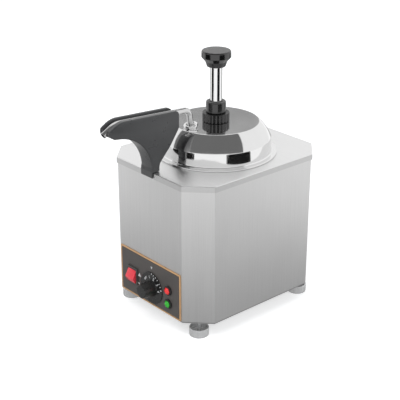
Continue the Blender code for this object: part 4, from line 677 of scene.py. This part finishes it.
def spout_outline():
    """The housing's side view: the arch, the leg's rear, the back, the top edge and the nose."""
    foot = 247.8 * MM
    centre_y, radius, sweep, count = -198.5 * MM, 66 * MM, radians(83), 40
    arch = []
    for index in range(count + 1):
        angle = sweep * (1 - index / count)
        forward = 2.0 * MM * max(0, 2 * index / count - 1) ** 2
        arch.append((centre_y + radius * cos(angle) - forward, foot + radius * sin(angle)))
    top = rail(BEND_Y)
    corners = [
        *arch,
        (-120.2 * MM, foot),
        (-120.2 * MM, foot + 11 * MM, 33.5 * MM),
        (-99.5 * MM, foot + 33.5 * MM, 33.5 * MM),
        (REAR_Y, foot + 58 * MM, 13.5 * MM),
        (REAR_Y, rail(REAR_Y), 6 * MM),
        (BEND_Y, top, 34 * MM),
        (-206 * MM, top - 10.7 * MM, 4.5 * MM),
        (-206 * MM, top - 18.7 * MM, 4.5 * MM),
        (-198.5 * MM, top - 23.5 * MM),
    ]
    return rounded(corners, 7)


def side_cut(outline, width):
    """Extrudes a (y, z) outline across X, centred on X = 0, with y counted from the jar's axis."""
    return moved(pushed(outline, width, -width / 2), (0, MID_Y, 0), SIDEWAYS)


def build_spout():
    """The arched housing with its open slot and short tab over the deck's lip, and the tube in it."""
    housing = finish_mesh(
        "spout_shell", bevelled(side_cut(spout_outline(), 26.2 * MM), 1.8 * MM, 4, 50), COAT, "cabinet",
        ("spout_housing",), 30,
    )
    reach = TUBE_R + SLOT_PLAY
    width = 2 * reach
    front, rear, depth = -172 * MM, REAR_Y + 4 * MM, 24 * MM
    top = rail(BEND_Y) + 4 * MM
    deep = [(rear, rail(rear) - depth), (rear, top), (front, top), (front, rail(front) - depth)]
    cut(housing, side_cut(deep, width))
    path = [(front + 4 * MM, rail(front + 4 * MM) - TUBE_SUNK - TUBE_R)]
    path += [point for point in tube_path() if point[0] < front]
    below = []
    for index, (y, z) in enumerate(path):
        before, after = path[max(index - 1, 0)], path[min(index + 1, len(path) - 1)]
        slope = atan2(after[1] - before[1], before[0] - after[0])
        below.append((y - reach * sin(slope), z - reach * cos(slope)))
    last_y, last_z = below[-1]
    below.append((last_y - 8 * MM, last_z - 8 * MM * tan(NOSE_ANGLE)))
    cut(housing, side_cut([*below, (below[-1][0], top), (below[0][0], top)], width))
    tab = mm(
        (-133.4, 240), (-135, 240), (-135.2, 249), (-134, 256), (-124, 256), (-124, 248.1), (-133.4, 248.1)
    )
    cut(housing, bevelled(side_cut(tab, 26.0 * MM), 0.4 * MM, 2, 60), "UNION")
    tube = pipe(tube_path(), TUBE_R, TUBE_R - 0.8 * MM, 48)
    finish_mesh("spout_tube", tube, CHROME_PIPE_PAINTED_SHADE, "pump_lid", ("discharge_tube",), 38)


# Control panel, built flat with x to the right, y up and z out from the shell's front face
PANEL_WIDTH, PANEL_HEIGHT, PANEL_LOW = 144 * MM, 77.6 * MM, 26.4 * MM
PANEL_OUT = 1.1 * MM
CONTROL_OUT = PANEL_OUT + 0.3 * MM


def on_front(shape, x=0.0, z=0.0, out=0.0):
    """Puts a shape that was built flat onto the front, upright."""
    return moved(shape, (x, FRONT_Y - out, z), UPRIGHT)


def build_panel():
    """The plate with its border, inner line, film field and plain printed marks."""
    middle = PANEL_LOW + PANEL_HEIGHT / 2
    plate = bevelled(pushed(rectangle(PANEL_WIDTH, PANEL_HEIGHT, 2 * MM), 0.8 * MM), 0.2 * MM, 2, 60)
    plate = on_front(plate, 0, middle, 0.3 * MM)
    finish_mesh("panel_plate", plate, BORDER, "cabinet", ("control_panel",), 30)
    film = 0.06 * MM
    for name, edge, out, material in (("line", 2.6 * MM, 0, LINE), ("field", 3.4 * MM, film, FILM)):
        sheet = pushed(rectangle(PANEL_WIDTH - 2 * edge, PANEL_HEIGHT - 2 * edge, 0.8 * MM), film)
        sheet = on_front(sheet, 0, middle, PANEL_OUT + out)
        finish_mesh(f"panel_{name}", sheet, material, "cabinet", (), 0)

    def mark(name, outline, x, z):
        shape = on_front(pushed(mm(*outline), 0.1 * MM), x, z, PANEL_OUT + 2 * film)
        finish_mesh(name, shape, MARKS, "cabinet", (), 0)

    mark("pointer_mark", [(-2.0, 2.2), (2.0, 2.2), (0, -2.2)], DIAL_X, 90.4 * MM)
    mark("low_mark", [(-3.9, -3.0), (3.7, -3.0), (0.2, 3.4)], -26.0 * MM, 67.2 * MM)
    mark("small_mark", [(-2.4, -1.1), (2.4, -1.1), (1.2, 1.2), (-2.4, 1.2)], -28.0 * MM, 51.8 * MM)


def build_switch():
    """The rocker switch: a bezel with its body behind, and the rocker tipped to one side."""
    bezel_height = 2.5 * MM
    shape = bevelled(pushed(rectangle(25.5 * MM, 29 * MM, 2 * MM), bezel_height), 0.6 * MM, 3, 50)
    shape = on_front(shape, SWITCH_X, SWITCH_Z, CONTROL_OUT)
    bezel = finish_mesh("switch_bezel", shape, BEZEL, "cabinet", ("switch_body",), 30)
    body = pushed(rectangle(22.3 * MM, 25.8 * MM), 24.6 * MM, -23.4 * MM)
    cut(bezel, on_front(body, SWITCH_X, SWITCH_Z, CONTROL_OUT), "UNION")
    pocket = pushed(rectangle(19.9 * MM, 22.6 * MM, 0.6 * MM), 13 * MM, bezel_height - 9.5 * MM)
    cut(bezel, on_front(pocket, SWITCH_X, SWITCH_Z - 0.4 * MM, CONTROL_OUT))
    outline = rounded(
        mm(
            (9.9, 2.4, 0.5), (-3.4, 7.6, 0.9), (-10.8, 2.4, 0.5), (-10.8, 0), (-5.4, -5.0), (5.4, -5.0),
            (10.8, 0),
        ),
        5,
    )
    width = 19.3 * MM
    shape = bevelled(moved(pushed(outline, width, -width / 2), turn=SIDEWAYS), 0.35 * MM, 2, 70)
    moved(shape, turn=Matrix.Rotation(-radians(7), 4, "X"))
    shape = on_front(shape, SWITCH_X, SWITCH_Z, CONTROL_OUT + bezel_height - 2.0 * MM)
    finish_mesh("rocker", shape, RED_SWITCH, "rocker", ("switch_rocker",), 30)


def build_lamps():
    """Two lamps, each a bezel, a dark skirt and a faceted jewel."""

    def faceted(angle, radius, height):
        return radius * (0.92 + 0.08 * cos(6 * angle))

    rim = mm(
        (0, -21.4), (6.0, -21.4), (6.0, 0), (7.8, 0, 0.3), (7.8, 2.2, 1.2), (5.95, 2.2, 0.3), (5.95, 1.1),
        (0, 1.1),
    )
    skirt = mm((3.0, 1.4), (5.85, 1.4), (5.85, 2.6), (5.0, 3.0), (3.0, 3.0))
    jewel = mm((0, 1.4), (5.6, 1.4), (5.6, 3.2), (4.3, 4.8), (1.6, 5.8), (0, 5.8))
    for colour, z, lens, dark in (
        ("red", RED_LAMP_Z, RED_LENS, RED_RIM), ("green", GREEN_LAMP_Z, GREEN_LENS, GREEN_RIM),
    ):
        name = f"lamp_{colour}"
        shape = on_front(turned(braced(rounded(rim)), 64), LAMP_X, z, CONTROL_OUT)
        finish_mesh(f"{name}_bezel", shape, BLACK, "cabinet", (f"{name}_body",), 38)
        shape = on_front(turned(skirt, 32), LAMP_X, z, CONTROL_OUT)
        finish_mesh(f"{name}_skirt", shape, dark, "cabinet", (), 30)
        shape = on_front(turned(jewel, 12, faceted), LAMP_X, z, CONTROL_OUT)
        finish_mesh(f"{name}_glass", shape, lens, "cabinet", (f"{name}_lens",), 0)


def build_dial():
    """The dial with its grip, and the ticks and plain numbers on its face."""
    out, thick, grips = 1.6 * MM, 1.2 * MM, 18
    face = out + thick
    profile = braced(rounded(mm(
        (9.0, 0), (26.0, 0, 0.3), (26.0, 1.2, 0.5), (13.8, 1.2, 0.7), (10.6, 21.5, 1.2), (0, 21.5), (0, 3.1),
        (9.0, 3.1),
    )))

    def grip(angle, radius, height):
        if height < 2.2 * MM or radius < 9.1 * MM:
            return radius
        return radius - 0.35 * MM * (0.5 + 0.5 * cos(grips * angle)) ** 2

    shape = on_front(turned(profile, grips * 10, grip), DIAL_X, DIAL_Z, out)
    finish_mesh("dial_knob", shape, DIAL, "dial", ("thermostat_knob",), 34)
    small, large = (2.4 * MM, 1.0 * MM), (3.2 * MM, 1.6 * MM)
    ticks = ((87, small), (75, small), (63, small), (51, small), (35, small), (24, small), (10, large))
    for index, (angle, size) in enumerate(ticks):
        turn = Matrix.Rotation(radians(angle), 3, "Z")
        shape = moved(pushed(rectangle(*size), 0.08 * MM), turn @ Vector((24.1 * MM, 0, 0)), turn)
        shape = on_front(shape, DIAL_X, DIAL_Z, face)
        finish_mesh(f"dial_tick_{index}", shape, MARKS, "dial", (), 0)
    figures = (("OFF", 137, 4.6), ("1", 102, 6.8), ("2", 70, 6.8), ("3", 36, 6.8), ("4", 2, 6.8))
    for text, angle, size in figures:
        add_figure(text, radians(angle), size * MM, face)


def add_figure(text, turn, size, out):
    """A number or word on the dial's face, as a mesh."""
    letter = bpy.data.curves.new(f"dial_number_{text}", "FONT")
    letter.body = text
    letter.size = size
    letter.extrude = 0.04 * MM
    letter.offset = 0.14 * MM
    letter.align_x = letter.align_y = "CENTER"
    letter.materials.append(MARKS)
    written = add_object(f"dial_number_{text}", letter)
    spot = Vector((17.6 * MM * cos(turn), 17.6 * MM * sin(turn), 0.05 * MM))
    place = Matrix.Translation((DIAL_X, FRONT_Y - out, DIAL_Z)) @ UPRIGHT @ Matrix.Translation(spot)
    written.matrix_world = place @ Matrix.Rotation(turn - pi / 2, 4, "Z")
    bpy.context.view_layer.update()
    graph = bpy.context.evaluated_depsgraph_get()
    figure = add_object(f"dial_figure_{text}", bpy.data.meshes.new_from_object(written.evaluated_get(graph)))
    figure.matrix_world = written.matrix_world.copy()
    bpy.data.objects.remove(written, do_unlink=True)
    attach(figure, "dial")


def build_feet():
    """Four screw feet, each a knurled cup on its stud."""
    knurls = 48
    for name in ("front_left", "front_right", "rear_left", "rear_right"):
        low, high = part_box(f"foot_{name}")
        spot = ((low[0] + high[0]) / 2, (low[1] + high[1]) / 2, 0)
        round_piece(
            f"foot_cup_{name}",
            mm(
                (0, 0), (15, 0, 1.2), (15, 2.4), (15, 11.0), (15, 13.0, 0.7), (13, 13.0, 0.4), (13, 3, 0.8),
                (3, 3, 0.6), (3, 36, 0.7), (0, 36),
            ),
            STEEL_FEET, f"{name}_foot", (f"foot_{name}",), knurls * 6, 4, spot,
            ripple=ridges(knurls, 0.2 * MM, 15 * MM, 2.3 * MM, 11.1 * MM), smooth=34,
        )


def build_gland():
    """The cord gland at the rear: a hexagon against the shell and a round cap."""
    low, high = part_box("gland_nut")
    spot = ((low[0] + high[0]) / 2, MID_Y + SHELL_DEPTH / 2, (low[2] + high[2]) / 2)
    turn = Matrix.Rotation(-pi / 2, 3, "X")

    def hexed(angle, radius, height):
        if radius < 9.6 * MM or height < 0 or height > 6.3 * MM:
            return radius
        side = (angle + pi / 6) % (pi / 3) - pi / 6
        return min(radius, 10.9 * MM / cos(side))

    round_piece(
        "gland_body",
        mm(
            (3.8, -10), (8.5, -10), (8.5, 0.3), (12.5, 0.3), (12.5, 6.3), (9.5, 6.3, 0.3), (9.5, 14.3, 3.0),
            (3.8, 14.3, 0.8),
        ),
        BLACK, "cabinet", ("cord_gland",), 72, 5, spot, ripple=hexed, turn=turn, smooth=34,
    )


build_shell()
build_deck()
build_well_and_jar()
build_lid()
build_pump_head()
build_spring()
build_spout()
build_panel()
build_switch()
build_lamps()
build_dial()
build_feet()
build_gland()

# Nodes whose own mesh stays, by their material
KEPT = {
    STEEL_PLAIN: (
        "base_plate base_screw_1 base_screw_2 base_screw_3 base_screw_4 heater_clamp_bolt "
        "thermostat_shaft spout_heater spout_screw_1 spout_screw_2 foot_nut_front_left "
        "foot_nut_front_right foot_nut_rear_left foot_nut_rear_right piston_rod pump_cylinder"
    ),
    ALUMINIUM: "spout_heat_block",
    COPPER: "band_heater thermostat_bulb",
    BRASS: "thermostat_nut",
    BLACK: "thermal_cutout gland_nut thermostat_body valve_body",
    NYLON: "terminal_block spring_seat piston",
    SILICONE: "lid_washer piston_seal",
    WOOL: "insulation_sleeve",
    CHROME: "intake_ball",
}
for material, names in KEPT.items():
    for name in names.split():
        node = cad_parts[name]
        node.data.materials.clear()
        node.data.materials.append(material)


# Floor, light and camera
# What the camera sees added to the floor, so that it's white round the shadow
FLOOR_LIFT = 0.50
# Painted shadow of the object on the floor as reflections see it: near and far radius in metres, and how
# bright reflections see the floor there
FLOOR_PAINTED_SHADOW = (0.10, 0.85, 0.44, 1.10)
# Floor cards: first and last azimuth, near and far radius in metres, and level
FLOOR_FLAGS = {
    "flag_left_near": (-136, -84, 0.88, 1.29, 0.01),
    "flag_left_far": (-132, -88, 1.29, 3.0, 0.01),
    "flag_right_near": (-21, 30, 0.88, 1.29, 0.01),
    "flag_right_far": (-17, 25, 1.29, 3.0, 0.01),
    "flag_back": (72, 190, 0.45, 1.6, 0.42),
}
# Overhead cards: (azimuth, height) directions, half width in degrees, distance in metres, and level
SKY_FLAGS = {
    "flag_rear": ([(134.6, 19.2), (141.6, 19.2)], 1.9, 6.0, 0.34),
    "flag_top": (
        [(-148, 30.4), (-131, 38.5), (-113.5, 45.2), (-80.8, 53.1), (-42, 56.2), (-3.2, 53.1), (31, 44.8)],
        27, 2.6, 0.17,
    ),
}
# How bright a reflection of a reflection sees the floor cards and the overhead cards
FLOOR_TWICE, SKY_TWICE = 1.0, 0.7
# Lamps: place, size and power; all aim at the middle of the object
LAMPS = {
    "key": ((0.2, -1.2, 1.7), (1.4, 1.4), 16),
    "side": ((1.9, 0.3, 1.1), (1.2, 1.6), 14),
    "rim": ((-1.4, 1.2, 1.3), (1.2, 1.2), 8),
}
LAMP_AIM = Vector((0, 0, 0.18))
CAMERA_EYE = Vector((1.09808, -0.95353, 0.80963))
CAMERA_AIM = Vector((-0.01579, 0.01474, 0.1633))
CAMERA_LENS = 92.63


def stage_piece(name, points, faces, material):
    """A mesh with one material that rides on no body: the floor or a card, not part of the object."""
    mesh = bpy.data.meshes.new(name)
    mesh.from_pydata(points, [], faces)
    mesh.materials.append(material)
    item = add_object(name, mesh)
    return item


def build_floor():
    """A white floor that keeps the shadow; metal sees it with a painted shadow, dim near the object and
    white farther off.
    """
    made = Nodes("floor")
    made.set(Base_Color=(0.9, 0.9, 0.9, 1), Roughness=0.9, Specular_IOR_Level=0.0)
    made.set(Emission_Color=(1, 1, 1, 1))
    path = made.add("ShaderNodeLightPath")
    lift = made.add("ShaderNodeMath", operation="MULTIPLY")
    lift.inputs[1].default_value = FLOOR_LIFT
    made.link(path.outputs["Is Camera Ray"], lift.inputs[0])
    made.link(lift.outputs[0], made.shader.inputs["Emission Strength"])
    spot = made.add("ShaderNodeTexCoord")
    reach = made.add("ShaderNodeVectorMath", operation="LENGTH")
    made.link(spot.outputs["Object"], reach.inputs[0])
    # Dimmer near the object as reflections see it: painted shadow
    painted_shadow = made.remap(reach.outputs["Value"], FLOOR_PAINTED_SHADOW, interpolation_type="SMOOTHSTEP")
    seen = made.add("ShaderNodeEmission")
    made.link(painted_shadow, seen.inputs["Strength"])
    mix = made.add("ShaderNodeMixShader")
    made.link(path.outputs["Is Glossy Ray"], mix.inputs[0])
    made.link(made.shader.outputs[0], mix.inputs[1])
    made.link(seen.outputs[0], mix.inputs[2])
    made.link(mix.outputs[0], made.tree.nodes["Material Output"].inputs["Surface"])
    size = 8.0
    corners = [(-size, -size, 0), (size, -size, 0), (size, size, 0), (-size, size, 0)]
    stage_piece("floor", corners, [(0, 1, 2, 3)], made.material)


def flag(name, points, level, level_twice):
    """Cards that only reflections see: at level in the first, at level_twice in a reflection of one."""
    made = Nodes(name)
    made.set(Base_Color=(0, 0, 0, 1), Specular_IOR_Level=0.0, Emission_Color=(1, 1, 1, 1))
    path = made.add("ShaderNodeLightPath")
    tone = made.remap(path.outputs["Ray Depth"], (1, 2, level, level_twice))
    made.link(tone, made.shader.inputs["Emission Strength"])
    faces = [(k, k + 1, k + 3, k + 2) for k in range(0, len(points) - 2, 2)]
    card = stage_piece(name, points, faces, made.material)
    card.visible_camera = False
    card.visible_diffuse = False
    card.visible_transmission = False
    card.visible_shadow = False


def way_to(azimuth, height):
    """A unit vector, from degrees."""
    a, b = radians(azimuth), radians(height)
    return Vector((cos(a) * cos(b), sin(a) * cos(b), sin(b)))


def floor_flag(name, start, end, near, far, level):
    """A sector of the floor between two azimuths."""
    lift = Vector((0, MID_Y, MM))
    steps = 8
    points = []
    for step in range(steps + 1):
        side = way_to(start + (end - start) * step / steps, 0)
        points += [tuple(side * near + lift), tuple(side * far + lift)]
    flag(name, points, level, FLOOR_TWICE)


def sky_flag(name, spots, half_width, distance, level):
    """A strip overhead along (azimuth, height) directions, counted from the middle of the lid."""
    middle = Vector((0, MID_Y, 0.27))
    ways = [way_to(*spot) for spot in spots]
    points = []
    for index, way in enumerate(ways):
        along = ways[min(index + 1, len(ways) - 1)] - ways[max(index - 1, 0)]
        across = way.cross(along).normalized() * tan(radians(half_width))
        points += [tuple(middle + (way - across) * distance), tuple(middle + (way + across) * distance)]
    flag(name, points, level, SKY_TWICE)


def aimed(eye, target):
    """A matrix that puts a lamp or camera at eye and points it at target."""
    way = target - eye
    return Matrix.Translation(eye) @ way.to_track_quat("-Z", "Y").to_matrix().to_4x4()


def add_lamp(name, place, size, power):
    """An area lamp that mirrors don't see."""
    lamp = bpy.data.lights.new(name, "AREA")
    lamp.shape = "RECTANGLE"
    lamp.size, lamp.size_y = size
    lamp.energy = power
    item = add_object(name, lamp)
    item.matrix_world = aimed(Vector(place), LAMP_AIM)
    item.visible_glossy = False


def build_world():
    """A dim sky for diffuse light that is white to the camera, to mirrors and through glass."""
    world = bpy.data.worlds.new("studio")
    bpy.context.scene.world = world
    world.use_nodes = True
    tree = world.node_tree
    plain = tree.nodes["Background"]
    white = tree.nodes.new("ShaderNodeBackground")
    for sky, colour, strength in ((plain, (0.92, 0.96, 1.0, 1), 0.45), (white, (1, 1, 1, 1), 1.0)):
        sky.inputs["Color"].default_value = colour
        sky.inputs["Strength"].default_value = strength
    path = tree.nodes.new("ShaderNodeLightPath")
    seen = path.outputs["Is Camera Ray"]
    for kind in ("Is Glossy Ray", "Is Transmission Ray"):
        either = tree.nodes.new("ShaderNodeMath")
        either.operation = "MAXIMUM"
        tree.links.new(seen, either.inputs[0])
        tree.links.new(path.outputs[kind], either.inputs[1])
        seen = either.outputs[0]
    mix = tree.nodes.new("ShaderNodeMixShader")
    tree.links.new(seen, mix.inputs[0])
    tree.links.new(plain.outputs[0], mix.inputs[1])
    tree.links.new(white.outputs[0], mix.inputs[2])
    tree.links.new(mix.outputs[0], tree.nodes["World Output"].inputs["Surface"])


build_floor()
build_world()
for name, sector in FLOOR_FLAGS.items():
    floor_flag(name, *sector)
for name, strip in SKY_FLAGS.items():
    sky_flag(name, *strip)
for name, settings in LAMPS.items():
    add_lamp(name, *settings)

camera = bpy.data.cameras.new("camera")
camera.lens = CAMERA_LENS
camera.sensor_width = 36
camera.clip_start = 0.05
viewer = add_object("camera", camera)
viewer.matrix_world = aimed(CAMERA_EYE, CAMERA_AIM)
bpy.context.scene.camera = viewer
bpy.context.scene.view_settings.view_transform = "Standard"
